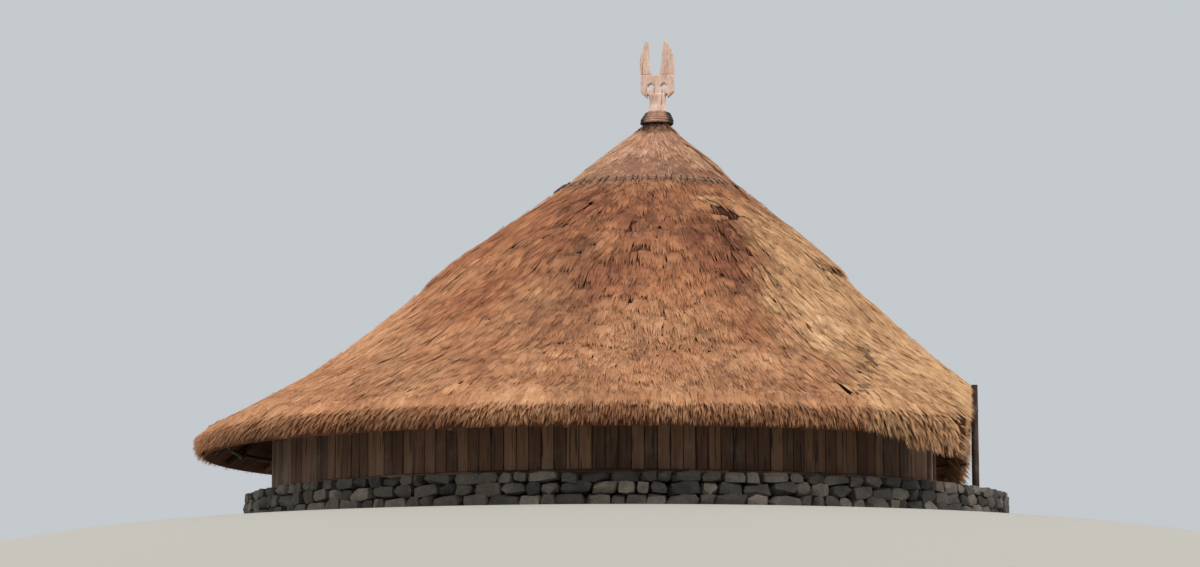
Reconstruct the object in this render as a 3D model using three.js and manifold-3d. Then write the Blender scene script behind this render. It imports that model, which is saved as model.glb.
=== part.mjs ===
// A round clan house: a squat cone of thatch over a low board wall on a ring of field stones, with a covered
// porch cut into the thatch on the +X side and a carved finial with two horns on the tip.
// Millimetres, +Z up. The origin is on the ground, under the centre of the centre post.
import * as THREE from "three";
import { mergeVertices } from "three/addons/utils/BufferGeometryUtils.js";
import Module from "manifold-3d";

const wasm = await Module();
wasm.setup();

const GAP = 0.3; // left between pieces that touch
const SPOKES = 24; // rafters, and facets round the plan

// Roof. The tip stands over the centre post, and the eave ring is centred a little behind it.
const TIP_Z = 5930; // where the slopes of the top layer would meet
const SLOPE = 0.78; // fall for each unit of radius
const LEAN = 0.105; // shift of the roof's rings along X for each unit of height
const CAP_THICKNESS = 70; // upright thickness of the top layer
const CAP_RADIUS = 1380;
const THATCH_THICKNESS = 330; // upright thickness of the upper tier
const THATCH_FACETS = 48;
const EAVE_RADIUS = 6100;
const TIER_ENDS = [
  { radius: 3000, run: 70, drop: 140 },
  { radius: 3660, run: 120, drop: 60 },
]; // where a tier of straw ends, and how far the next one down lies below its face
const SKIRT_RADIUS = 4500; // the slope eases outside it
const SKIRT_SLOPE = 0.6;
const EAVE_LIP = { under: 200, foot: 60, rise: 50, thickness: 110, crown: 20 }; // rounded end of the thatch
const CAP_EDGE = { out: 15, down: 25 }; // slant of the top layer's lower edge
const BROW_X = 4350; // the thatch is cut off straight here, over the entrance

// Roof poles
const RAFTER = 80; // section of a rafter
const RAFTER_DROP = 3; // below the thatch, for its facets
const RAFTER_END = 5750;
const RAFTER_SETBACK = 60; // behind the cut thatch, over the entrance
const HUB_RADIUS = 400;
const HUB_OVERLAP = 60; // of each rafter with the hub
const PURLIN = 80;
const PURLIN_RADII = [1600, 3300, 5550];
const BROW_RAFTER_END = 4470; // X where the two brow rafters stop

// Posts and ties
const CENTRE_POST_RADIUS = 110;
const CENTRE_POST_TOP_RADIUS = 85;
const CENTRE_POST_TAPER = { from: 3000, to: 4400 };
const POST_SIDES = 8;
const ROUND_POST_SIDES = 12;
const MAIN_POST_RADIUS = 85;
const TIE_HALF = 2250; // half the square that the four main posts stand on
const TIE = [100, 120]; // width and height of a tie beam
const TIE_OVERHANG = 250;

// Base, floor and wall
const PLINTH = { inner: 4850, outer: 5400, height: 450, lengths: 8 };
const FLOOR_THICKNESS = 50;
const BEARER = [100, 120];
const WALL_RADIUS = 5000;
const WALL_THICKNESS = 60;
const FRONT_SPOKE = 2; // the straight front spans two spokes each side of the +X axis
const WALL_LENGTHS = 10;
const PLATE = { inner: 4870, height: 100 };
const CORNER_POST_RADIUS = 65;
const CORNER_CLEARANCE = 12; // between a corner post and the end of the round wall
const PLATE_OVERHANG = 0.01; // radians past the corner posts

// Front and porch
const FRONT_THICKNESS = 50;
const FRONT_TOP_GAP = 2; // between the planks and the rafters
const DOOR = { halfWidth: 420, height: 1290, frame: 90, depth: 120, sill: 60 };
const PORCH_POST = { x: 4452, y: 1160, radius: 50, top: 1880 };
const LINTEL = { section: 90, halfLength: 1450 };

// Finial
const COLLAR = { radius: 242, lap: 70, foot: 5825, edge: 5865, shoulder: 5945, flat: 150, top: 5995 };
const NECK = { waist: 115, top: 6215, shoulder: 125, sides: 16 };
const HEAD = { width: 480, top: 6550, thickness: 130, corner: 90, notch: 90, brow: 70 };
const SLOT = { centre: 95, width: 110 };
const HORN = { height: 510, thickness: 90, bow: 22, turn: 20, taper: 0.8, bluntness: 2.4 };
const HORN_LEFT = { side: -1, foot: 150, centre: 165 };
const HORN_RIGHT = { side: 1, foot: 205, centre: 137 }; // the broader of the two

// Heights and places worked out from the sizes above
const THATCH_TIP = TIP_Z - CAP_THICKNESS;
const UNDER_TIP = THATCH_TIP - THATCH_THICKNESS;
const SLOPE_LENGTH = Math.hypot(1, SLOPE); // slant for each unit of radius
const RAFTER_TOP_TIP = UNDER_TIP - RAFTER_DROP;
const RAFTER_FOOT_TIP = RAFTER_TOP_TIP - RAFTER * SLOPE_LENGTH;
const PLATE_TOP = RAFTER_FOOT_TIP - SLOPE * WALL_RADIUS - GAP;
const FLOOR_TOP = PLINTH.height + FLOOR_THICKNESS + GAP;
const WALL_FOOT = FLOOR_TOP + GAP;
const WALL_TOP = PLATE_TOP - PLATE.height - GAP;
const leanAt = (z) => LEAN * (z - TIP_Z);
const RING_X = leanAt(PLATE_TOP); // centre of the wall, floor and plinth
const STEP = (2 * Math.PI) / SPOKES;
const FRONT_ANGLE = FRONT_SPOKE * STEP;
const FRONT_X = RING_X + WALL_RADIUS * Math.cos(FRONT_ANGLE); // outer face of the straight front
const PURLIN_FOOT = RAFTER_FOOT_TIP - SLOPE * PURLIN_RADII[1] - PURLIN / 2;
const TIE_TOP = PURLIN_FOOT - GAP;
const TIE_X = leanAt(TIE_TOP);

function material(colour, roughness) {
  return new THREE.MeshStandardMaterial({ color: colour, roughness, metalness: 0 });
}

const thatchBrown = material(0x9d6a4e, 1);
const thatchPale = material(0xb08973, 1);
const poleWood = material(0x6b4a33, 0.85);
const darkWood = material(0x4a3324, 0.8);
const boardWood = material(0x7a5638, 0.85);
const paleWood = material(0xc4ab9b, 0.75);
const darkBinding = material(0x453a33, 0.95);
const fieldStone = material(0x4f4a45, 0.95);

// A closed three.js geometry as a solid that can be cut and joined.
function solid(geometry) {
  const bare = geometry.clone();
  bare.deleteAttribute("normal");
  bare.deleteAttribute("uv");
  const merged = mergeVertices(bare, 1e-3);
  const corners = merged.index.array;
  const kept = [];
  for (let i = 0; i < corners.length; i += 3) {
    const [a, b, c] = corners.slice(i, i + 3);
    if (a !== b && b !== c && c !== a) kept.push(a, b, c);
  }
  return new wasm.Manifold(
    new wasm.Mesh({
      numProp: 3,
      vertProperties: new Float32Array(merged.attributes.position.array),
      triVerts: new Uint32Array(kept),
    }),
  );
}

// A solid as a three.js geometry.
function geometryOf(body) {
  const made = body.getMesh();
  const geometry = new THREE.BufferGeometry();
  geometry.setAttribute("position", new THREE.BufferAttribute(new Float32Array(made.vertProperties), 3));
  geometry.setIndex(new THREE.BufferAttribute(new Uint32Array(made.triVerts), 1));
  return geometry;
}

function join(bodies) {
  return bodies.reduce((whole, body) => whole.add(body));
}

function piece(name, geometry, finish) {
  const mesh = new THREE.Mesh(geometry, finish);
  mesh.name = name;
  return mesh;
}

// A turned shape about Z from [radius, height] points.
function turned(points, facets) {
  const profile = points.map(([r, z]) => new THREE.Vector2(r, z));
  return new THREE.LatheGeometry(profile, facets).rotateX(Math.PI / 2);
}

// A square-cornered ring about Z, closed on itself.
function ring(inner, outer, foot, top, facets) {
  return turned([[inner, foot], [outer, foot], [outer, top], [inner, top], [inner, foot]], facets);
}

function post(radius, foot, top, x, y, sides) {
  const geometry = new THREE.CylinderGeometry(radius, radius, top - foot, sides);
  return geometry.rotateX(Math.PI / 2).translate(x, y, (foot + top) / 2);
}

// A box from its lowest to its highest corner.
function block(low, high) {
  const size = high.map((value, i) => value - low[i]);
  const centre = high.map((value, i) => (value + low[i]) / 2);
  return new THREE.BoxGeometry(...size).translate(...centre);
}

// An outline of [x, y] points raised from foot to top.
function raised(outline, foot, top) {
  const shape = new THREE.Shape(outline.map(([x, y]) => new THREE.Vector2(x, y)));
  const settings = { depth: top - foot, bevelEnabled: false };
  return new THREE.ExtrudeGeometry(shape, settings).translate(0, 0, foot);
}

// An outline of [y, z] points made into a wall between two X planes.
function upright(outline, back, front) {
  const shape = new THREE.Shape(outline.map(([y, z]) => new THREE.Vector2(y, z)));
  const settings = { depth: front - back, bevelEnabled: false };
  const geometry = new THREE.ExtrudeGeometry(shape, settings);
  return geometry.rotateX(Math.PI / 2).rotateZ(Math.PI / 2).translate(back, 0, 0);
}

// A stretch of ring between two angles, one facet for each spoke or part of one.
function arc(inner, outer, from, to, foot, top) {
  const inside = [from, to];
  const first = Math.floor(from / STEP) + 1;
  for (let spoke = first; spoke * STEP < to - 1e-6; spoke += 1) {
    if (spoke * STEP > from + 1e-6) inside.push(spoke * STEP);
  }
  inside.sort((a, b) => a - b);
  const edge = (angle) => {
    // The radius factor keeps a cut end on its facet's straight chord.
    const fromSpoke = angle - Math.floor(angle / STEP) * STEP - STEP / 2;
    return Math.cos(STEP / 2) / Math.cos(fromSpoke);
  };
  const at = (radius, angle) => [
    RING_X + radius * edge(angle) * Math.cos(angle),
    radius * edge(angle) * Math.sin(angle),
  ];
  const outline = inside.map((angle) => at(outer, angle));
  outline.push(...inside.reverse().map((angle) => at(inner, angle)));
  return raised(outline, foot, top);
}

// The roof's rings move along X with height, so that the tip stands forward of the eave's centre.
const leaning = new THREE.Matrix4().makeShear(0, 0, 0, 0, LEAN, 0);
leaning.premultiply(new THREE.Matrix4().makeTranslation(-LEAN * TIP_Z, 0, 0));

function leant(geometry) {
  return solid(geometry.applyMatrix4(leaning));
}

// Room for the centre post through whatever it passes.
function postHole() {
  return solid(post(CENTRE_POST_TOP_RADIUS + GAP, CENTRE_POST_TAPER.to, TIP_Z + 200, 0, 0, ROUND_POST_SIDES));
}

// All that lies beyond an X plane.
function beyond(x) {
  const far = 2 * EAVE_RADIUS;
  return solid(block([x, -far, -far], [x + far, far, far]));
}

// Height of the thatch's face. It falls in three tiers, the lowest of them a flatter skirt.
function thatchFace(r) {
  const skirt = Math.max(0, r - SKIRT_RADIUS);
  const drops = TIER_ENDS.filter(({ radius }) => r > radius).reduce((sum, { drop }) => sum + drop, 0);
  return THATCH_TIP - SLOPE * (r - skirt) - SKIRT_SLOPE * skirt - drops;
}

function thatchRoof() {
  const under = (r) => UNDER_TIP - SLOPE * r;
  const inner = EAVE_RADIUS - EAVE_LIP.under;
  const crown = EAVE_RADIUS - EAVE_LIP.crown;
  const edges = TIER_ENDS.flatMap(({ radius, run }) => [radius, radius + run]).reverse();
  const profile = [
    [0, UNDER_TIP],
    [inner, under(inner)],
    [EAVE_RADIUS - EAVE_LIP.foot, under(inner) + EAVE_LIP.rise],
    [EAVE_RADIUS, thatchFace(EAVE_RADIUS) - EAVE_LIP.thickness],
    ...[crown, SKIRT_RADIUS, ...edges].map((r) => [r, thatchFace(r)]),
    [0, THATCH_TIP],
  ];
  return leant(turned(profile, THATCH_FACETS)).subtract(postHole()).subtract(beyond(BROW_X));
}

function thatchCap() {
  const profile = [
    [0, THATCH_TIP + GAP],
    [CAP_RADIUS, THATCH_TIP + GAP - SLOPE * CAP_RADIUS],
    [CAP_RADIUS + CAP_EDGE.out, TIP_Z - CAP_EDGE.down - SLOPE * (CAP_RADIUS + CAP_EDGE.out)],
    [0, TIP_Z],
  ];
  return leant(turned(profile, THATCH_FACETS)).subtract(postHole());
}

// A straight pole of the roof from the hub out to a radius, along one spoke.
function rafter(angle, end) {
  const start = HUB_RADIUS - HUB_OVERLAP;
  const length = (end - start) * SLOPE_LENGTH;
  const pole = new THREE.BoxGeometry(length, RAFTER, RAFTER);
  const middle = (start + end) / 2;
  const centreTip = (RAFTER_TOP_TIP + RAFTER_FOOT_TIP) / 2;
  pole.rotateY(Math.atan(SLOPE)).translate(middle, 0, centreTip - SLOPE * middle).rotateZ(angle);
  return leant(pole);
}

function rafterHub() {
  const top = (r) => RAFTER_TOP_TIP - SLOPE * r;
  const foot = (r) => RAFTER_FOOT_TIP - SLOPE * r;
  const rim = [[HUB_RADIUS, foot(HUB_RADIUS)], [HUB_RADIUS, top(HUB_RADIUS)]];
  return leant(turned([[0, foot(0)], ...rim, [0, top(0)]], SPOKES));
}

function purlinRing(radius) {
  const centre = RAFTER_FOOT_TIP - SLOPE * radius;
  const half = PURLIN / 2;
  return leant(ring(radius - half, radius + half, centre - half, centre + half, SPOKES));
}

// The two rafters beside the middle one run on past the thatch, over the porch lintel.
function rafters() {
  const poles = Array.from({ length: SPOKES }, (_, spoke) => rafter(spoke * STEP, RAFTER_END));
  const lattice = join([rafterHub(), ...poles, ...PURLIN_RADII.map(purlinRing)]);
  const brow = join([rafter(STEP, RAFTER_END), rafter(-STEP, RAFTER_END)]);
  const browEnds = brow.subtract(beyond(BROW_RAFTER_END));
  return lattice.subtract(beyond(BROW_X - RAFTER_SETBACK)).add(browEnds).subtract(postHole());
}

function centrePost() {
  const profile = [
    [0, 0],
    [CENTRE_POST_RADIUS, 0],
    [CENTRE_POST_RADIUS, CENTRE_POST_TAPER.from],
    [CENTRE_POST_TOP_RADIUS, CENTRE_POST_TAPER.to],
    [CENTRE_POST_TOP_RADIUS, COLLAR.top],
    [0, COLLAR.top],
  ];
  return turned(profile, ROUND_POST_SIDES);
}

function mainPosts() {
  const top = TIE_TOP - 2 * TIE[1] - 2 * GAP;
  const corners = [[1, 1], [-1, 1], [-1, -1], [1, -1]];
  return corners.map(([sx, sy], i) => {
    const geometry = post(MAIN_POST_RADIUS, 0, top, TIE_X + sx * TIE_HALF, sy * TIE_HALF, POST_SIDES);
    return piece(`main_post_${i + 1}`, geometry, darkWood);
  });
}

// The left and right beams lie on the posts, and the front and back beams cross over them.
function tieBeams() {
  const reach = TIE_HALF + TIE_OVERHANG;
  const half = TIE[0] / 2;
  const lower = TIE_TOP - TIE[1] - GAP;
  const along = (y) => block([TIE_X - reach, y - half, lower - TIE[1]], [TIE_X + reach, y + half, lower]);
  const across = (x) => block([x - half, -reach, TIE_TOP - TIE[1]], [x + half, reach, TIE_TOP]);
  return [
    piece("tie_beam_right", along(-TIE_HALF), darkWood),
    piece("tie_beam_left", along(TIE_HALF), darkWood),
    piece("tie_beam_front", across(TIE_X + TIE_HALF), darkWood),
    piece("tie_beam_back", across(TIE_X - TIE_HALF), darkWood),
  ];
}

function plinth() {
  const turn = (2 * Math.PI) / PLINTH.lengths;
  const clear = GAP / PLINTH.inner;
  return Array.from({ length: PLINTH.lengths }, (_, i) => {
    const stretch = arc(PLINTH.inner, PLINTH.outer, i * turn + clear, (i + 1) * turn, 0, PLINTH.height);
    return piece(`plinth_${i + 1}`, stretch, fieldStone);
  });
}

// Boards laid as one deck, with room for the posts that pass through it.
function floor() {
  const foot = PLINTH.height + GAP;
  const disc = new THREE.CylinderGeometry(WALL_RADIUS, WALL_RADIUS, FLOOR_THICKNESS, SPOKES);
  disc.rotateX(Math.PI / 2).translate(RING_X, 0, foot + FLOOR_THICKNESS / 2);
  const hole = (radius, x, y, sides) => solid(post(radius + GAP, 0, 2 * foot, x, y, sides));
  let deck = solid(disc).subtract(hole(CENTRE_POST_RADIUS, 0, 0, ROUND_POST_SIDES));
  for (const x of [TIE_X - TIE_HALF, TIE_X + TIE_HALF]) {
    for (const y of [-TIE_HALF, TIE_HALF]) deck = deck.subtract(hole(MAIN_POST_RADIUS, x, y, POST_SIDES));
  }
  return geometryOf(deck);
}

// Each bearer runs along Y, against the inner side of two main posts.
function bearers() {
  const bearer = (x) => {
    const reach = Math.sqrt(PLINTH.inner ** 2 - (Math.abs(x - RING_X) + BEARER[0]) ** 2) * Math.cos(STEP / 2);
    return block([x, -reach, PLINTH.height - BEARER[1]], [x + BEARER[0], reach, PLINTH.height]);
  };
  const clear = MAIN_POST_RADIUS + GAP;
  return [
    piece("floor_bearer_front", bearer(TIE_X + TIE_HALF - clear - BEARER[0]), darkWood),
    piece("floor_bearer_back", bearer(TIE_X - TIE_HALF + clear), darkWood),
  ];
}

function ringWall() {
  const free = 2 * Math.PI - 2 * FRONT_ANGLE;
  const turn = free / WALL_LENGTHS;
  const clear = GAP / (WALL_RADIUS - WALL_THICKNESS);
  const postClear = (CORNER_POST_RADIUS + CORNER_CLEARANCE) / WALL_RADIUS;
  return Array.from({ length: WALL_LENGTHS }, (_, i) => {
    const from = FRONT_ANGLE + i * turn + (i === 0 ? postClear : clear);
    const to = FRONT_ANGLE + (i + 1) * turn - (i === WALL_LENGTHS - 1 ? postClear : 0);
    const panel = arc(WALL_RADIUS - WALL_THICKNESS, WALL_RADIUS, from, to, WALL_FOOT, WALL_TOP);
    return piece(`ring_wall_${i + 1}`, panel, boardWood);
  });
}

function wallPlate() {
  const from = FRONT_ANGLE - PLATE_OVERHANG;
  return arc(PLATE.inner, WALL_RADIUS, from, 2 * Math.PI - from, PLATE_TOP - PLATE.height, PLATE_TOP);
}

function cornerPosts() {
  const radius = WALL_RADIUS - CORNER_POST_RADIUS;
  const x = RING_X + radius * Math.cos(FRONT_ANGLE);
  const y = radius * Math.sin(FRONT_ANGLE);
  return [
    piece("corner_post_left", post(CORNER_POST_RADIUS, WALL_FOOT, WALL_TOP, x, y, POST_SIDES), darkWood),
    piece("corner_post_right", post(CORNER_POST_RADIUS, WALL_FOOT, WALL_TOP, x, -y, POST_SIDES), darkWood),
  ];
}

// Height of the rafters' undersides over an X plane. The distance from the leaning centre is given by reach.
function rafterFoot(x, reach) {
  let z = PLATE_TOP;
  for (let i = 0; i < 20; i += 1) z = RAFTER_FOOT_TIP - SLOPE * reach(x - leanAt(z));
  return z;
}

function frontTop(y) {
  return rafterFoot(FRONT_X, (x) => Math.hypot(x, y)) - FRONT_TOP_GAP;
}

// The straight front: planks beside the doorway and a short stretch over it, under the arch of the thatch.
function front() {
  const back = FRONT_X - FRONT_THICKNESS;
  const inner = DOOR.halfWidth + DOOR.frame + GAP;
  const cornerY = (WALL_RADIUS - CORNER_POST_RADIUS) * Math.sin(FRONT_ANGLE);
  const outer = cornerY - CORNER_POST_RADIUS - GAP;
  const steps = 8;
  const topEdge = (from, to) =>
    Array.from({ length: steps + 1 }, (_, i) => {
      const y = from + ((to - from) * i) / steps;
      return [y, frontTop(y)];
    });
  const side = (sign) => {
    const edge = sign > 0 ? topEdge(outer, inner) : topEdge(-inner, -outer);
    const [a, b] = sign > 0 ? [inner, outer] : [-outer, -inner];
    return upright([[a, WALL_FOOT], [b, WALL_FOOT], ...edge], back, FRONT_X);
  };
  const doorFrameTop = WALL_FOOT + DOOR.sill + DOOR.height + DOOR.frame + 3 * GAP;
  const reach = DOOR.halfWidth + DOOR.frame;
  const lowerEdge = [[-reach, doorFrameTop], [reach, doorFrameTop]];
  const over = upright([...lowerEdge, ...topEdge(reach, -reach)], back, FRONT_X);
  return [
    piece("front_wall_left", side(1), boardWood),
    piece("front_wall_right", side(-1), boardWood),
    piece("front_wall_over_door", over, boardWood),
  ];
}

function doorFrame() {
  const middle = FRONT_X - FRONT_THICKNESS / 2;
  const [back, face] = [middle - DOOR.depth / 2, middle + DOOR.depth / 2];
  const reach = DOOR.halfWidth + DOOR.frame;
  const sillTop = WALL_FOOT + DOOR.sill;
  const jambFoot = sillTop + GAP;
  const jambTop = jambFoot + DOOR.height;
  const headFoot = jambTop + GAP;
  return [
    piece("door_sill", block([back, -reach, WALL_FOOT], [face, reach, sillTop]), darkWood),
    piece("door_jamb_left", block([back, DOOR.halfWidth, jambFoot], [face, reach, jambTop]), darkWood),
    piece("door_jamb_right", block([back, -reach, jambFoot], [face, -DOOR.halfWidth, jambTop]), darkWood),
    piece("door_head", block([back, -reach, headFoot], [face, reach, headFoot + DOOR.frame]), darkWood),
  ];
}

// Posts on the stone ring just outside the thatch, with a lintel behind them under the two brow rafters.
function porch() {
  const foot = PLINTH.height + GAP;
  const outer = PORCH_POST.x - PORCH_POST.radius - GAP;
  const top = rafterFoot(outer, (x) => x / Math.cos(STEP) + (RAFTER / 2) * Math.tan(STEP)) - GAP;
  const low = [outer - LINTEL.section, -LINTEL.halfLength, top - LINTEL.section];
  const beam = block(low, [outer, LINTEL.halfLength, top]);
  const stand = (y) => post(PORCH_POST.radius, foot, PORCH_POST.top, PORCH_POST.x, y, ROUND_POST_SIDES);
  return [
    piece("porch_post_left", stand(PORCH_POST.y), darkWood),
    piece("porch_post_right", stand(-PORCH_POST.y), darkWood),
    piece("porch_lintel", beam, darkWood),
  ];
}

// The dark binding that is wrapped round the tip of the thatch.
function apexCollar() {
  const seat = (r) => TIP_Z + GAP - SLOPE * r;
  const rim = COLLAR.radius;
  const lap = rim - COLLAR.lap;
  const profile = [
    [0, seat(0)],
    [lap, seat(lap)],
    [rim, COLLAR.foot],
    [rim, COLLAR.edge],
    [lap, COLLAR.shoulder],
    [COLLAR.flat, COLLAR.top],
    [0, COLLAR.top],
  ];
  return leant(turned(profile, SPOKES)).subtract(postHole());
}

// Neck and head are one carved timber. Two notches under the head's brow leave a pointed middle.
function finial() {
  const foot = COLLAR.top + GAP;
  const waist = (foot + NECK.top) / 2;
  const neckEnd = NECK.top + HEAD.notch / 2;
  const base = COLLAR.flat - GAP;
  const neck = [[0, foot], [base, foot], [NECK.waist, waist], [NECK.shoulder, neckEnd], [0, neckEnd]];
  const half = HEAD.width / 2;
  const jaw = half - HEAD.corner;
  const rightEdge = [
    [HEAD.notch, NECK.top],
    [jaw, NECK.top + HEAD.brow],
    [jaw, NECK.top],
    [half, NECK.top + HEAD.corner],
    [half, HEAD.top],
  ];
  const leftEdge = rightEdge.map(([x, z]) => [-x, z]).reverse();
  const head = solid(facing([...rightEdge, ...leftEdge], HEAD.thickness));
  const body = solid(turned(neck, NECK.sides)).add(head);
  return body.subtract(slot(-1)).subtract(slot(1));
}

// A diamond cut through the head on one side of its middle.
function slot(side) {
  const x = side * SLOT.centre;
  const z = (NECK.top + HEAD.top) / 2;
  const half = SLOT.width / 2;
  const points = [[x - half, z], [x, z - half], [x + half, z], [x, z + half]];
  return solid(facing(points, 2 * HEAD.thickness));
}

// An outline of [x, z] points made into a board that faces along Y, centred on the XZ plane.
function facing(outline, thickness) {
  const shape = new THREE.Shape(outline.map(([x, z]) => new THREE.Vector2(x, z)));
  const geometry = new THREE.ExtrudeGeometry(shape, { depth: thickness, bevelEnabled: false });
  return geometry.rotateX(Math.PI / 2).translate(0, thickness / 2, 0);
}

// A horn stands on the head and curves out and in again to a blunt point.
function horn({ side, foot: width, centre }) {
  const foot = HEAD.top + GAP;
  const steps = 8;
  const middle = (t) => side * (centre + HORN.bow * Math.sin(Math.PI * t) - HORN.turn * t * t);
  const half = (t) => (width / 2) * (1 - HORN.taper * t ** HORN.bluntness);
  const stations = Array.from({ length: steps + 1 }, (_, i) => i / steps);
  const rightEdge = stations.map((t) => [middle(t) + half(t), foot + HORN.height * t]);
  const leftEdge = stations.map((t) => [middle(t) - half(t), foot + HORN.height * t]);
  return facing([...rightEdge, ...leftEdge.reverse()], HORN.thickness);
}

const house = new THREE.Group();
house.add(
  ...plinth(),
  piece("floor", floor(), boardWood),
  ...bearers(),
  piece("centre_post", centrePost(), darkWood),
  ...mainPosts(),
  ...tieBeams(),
  ...ringWall(),
  ...cornerPosts(),
  piece("wall_plate", wallPlate(), poleWood),
  piece("rafters", geometryOf(rafters()), poleWood),
  ...front(),
  ...doorFrame(),
  ...porch(),
  piece("thatch_roof", geometryOf(thatchRoof()), thatchBrown),
  piece("thatch_cap", geometryOf(thatchCap()), thatchPale),
  piece("apex_collar", geometryOf(apexCollar()), darkBinding),
  piece("finial", geometryOf(finial()), paleWood),
  piece("horn_left", horn(HORN_LEFT), paleWood),
  piece("horn_right", horn(HORN_RIGHT), paleWood),
);

export default house;
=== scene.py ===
# A round clan house: a ring of stones, a board floor and wall, a porch, a cone of poles, thatch and a finial.
import math
from contextlib import contextmanager

import bpy
import numpy as np
from mathutils import Matrix, Vector, noise


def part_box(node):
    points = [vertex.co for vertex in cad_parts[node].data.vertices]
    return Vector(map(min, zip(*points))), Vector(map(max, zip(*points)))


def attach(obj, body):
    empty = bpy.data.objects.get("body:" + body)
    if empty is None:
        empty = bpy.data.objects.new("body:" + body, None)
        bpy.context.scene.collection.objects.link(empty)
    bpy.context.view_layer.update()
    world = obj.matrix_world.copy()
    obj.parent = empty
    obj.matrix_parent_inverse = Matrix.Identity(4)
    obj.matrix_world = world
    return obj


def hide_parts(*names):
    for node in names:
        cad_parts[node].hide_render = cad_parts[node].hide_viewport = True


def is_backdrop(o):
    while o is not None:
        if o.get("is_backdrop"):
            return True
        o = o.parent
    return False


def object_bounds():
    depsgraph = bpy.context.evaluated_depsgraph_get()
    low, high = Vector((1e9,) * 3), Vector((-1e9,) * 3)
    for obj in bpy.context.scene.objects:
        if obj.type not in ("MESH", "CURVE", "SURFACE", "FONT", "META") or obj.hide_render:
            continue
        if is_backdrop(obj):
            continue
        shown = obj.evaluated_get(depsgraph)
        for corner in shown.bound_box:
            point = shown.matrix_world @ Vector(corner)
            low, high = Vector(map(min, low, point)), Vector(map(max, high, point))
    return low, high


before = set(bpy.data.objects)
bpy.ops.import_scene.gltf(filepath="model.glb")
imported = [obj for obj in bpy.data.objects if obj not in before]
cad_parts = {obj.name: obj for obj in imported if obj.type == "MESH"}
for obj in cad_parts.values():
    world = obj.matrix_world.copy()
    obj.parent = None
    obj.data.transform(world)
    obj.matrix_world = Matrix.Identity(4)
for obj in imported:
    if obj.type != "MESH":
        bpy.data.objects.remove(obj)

cad_low, cad_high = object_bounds()

# Viewpoint. The house is seen from 40 m away, from close to the ground, a little round from its right side
# towards the porch, so that the cut edge of the thatch over the entrance lines up with the view.
EYE_DISTANCE = 40.0
EYE_TURN = math.radians(6.1)
EYE_HEIGHT = -2.07
PICTURE_WIDTH = 17.0  # metres across the picture, at the house

eye = Vector((EYE_DISTANCE * math.sin(EYE_TURN), -EYE_DISTANCE * math.cos(EYE_TURN), EYE_HEIGHT))
aim = (cad_low + cad_high) / 2
aim.y = 0
bpy.ops.object.camera_add(location=eye, rotation=(aim - eye).to_track_quat("-Z", "Y").to_euler())
viewpoint = bpy.context.object
viewpoint.data.lens = viewpoint.data.sensor_width * EYE_DISTANCE / PICTURE_WIDTH
bpy.context.scene.camera = viewpoint

# Stone ring. Dark field stones, laid dry in three courses and two rows, carry the floor and the wall. They
# are gathered and not cut, so each is an angular lump turned a little from the line. The top is bedded level.
COURSES = (0.17, 0.15, 0.13)  # heights from the ground up
STONE_ROWS = ((5.09, 5.385), (4.86, 5.11))  # inner and outer radius
STONE_LENGTHS = (0.15, 0.42)  # least and most of a stone's share of its row
STONE_LAP = 1.08  # a stone's length over its share
STONE_DEPTHS = (0.85, 1.04)  # least and most of a stone's depth over its row's
STONE_HEIGHTS = (1.05, 1.3)  # and of its height over its course's
STONE_SHAPES = 14
STONE_TURN = math.radians(8)
RING_LENGTHS = 8

luck = np.random.default_rng(11)


def alone():
    """Leaves nothing selected, so that an operator acts only on what is added next."""
    bpy.ops.object.select_all(action="DESELECT")


def pick(thing):
    """Selects one object and makes it the active one."""
    alone()
    thing.select_set(True)
    bpy.context.view_layer.objects.active = thing


def added(primitive, **settings):
    """Adds a primitive, with its place and size in its mesh."""
    alone()
    primitive(**settings)
    bpy.ops.object.transform_apply()
    return bpy.context.object


@contextmanager
def editing(thing):
    """Keeps a mesh in edit mode, with all of it selected at first."""
    pick(thing)
    bpy.ops.object.mode_set(mode="EDIT")
    bpy.ops.mesh.select_all(action="SELECT")
    yield
    bpy.ops.object.mode_set(mode="OBJECT")


def points_of(mesh):
    return np.array([point.co for point in mesh.vertices])


def move_points(mesh, points):
    mesh.vertices.foreach_set("co", points.astype(np.float32).ravel())


def give_marks(mesh, **marks):
    """Writes values to a mesh's points: three numbers each for the place in the grain, one for the rest."""
    for title, values in marks.items():
        kind, field = ("FLOAT_VECTOR", "vector") if values.ndim == 2 else ("FLOAT", "value")
        made = mesh.attributes.get(title) or mesh.attributes.new(title, kind, "POINT")
        made.data.foreach_set(field, values.astype(np.float32).ravel())


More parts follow.
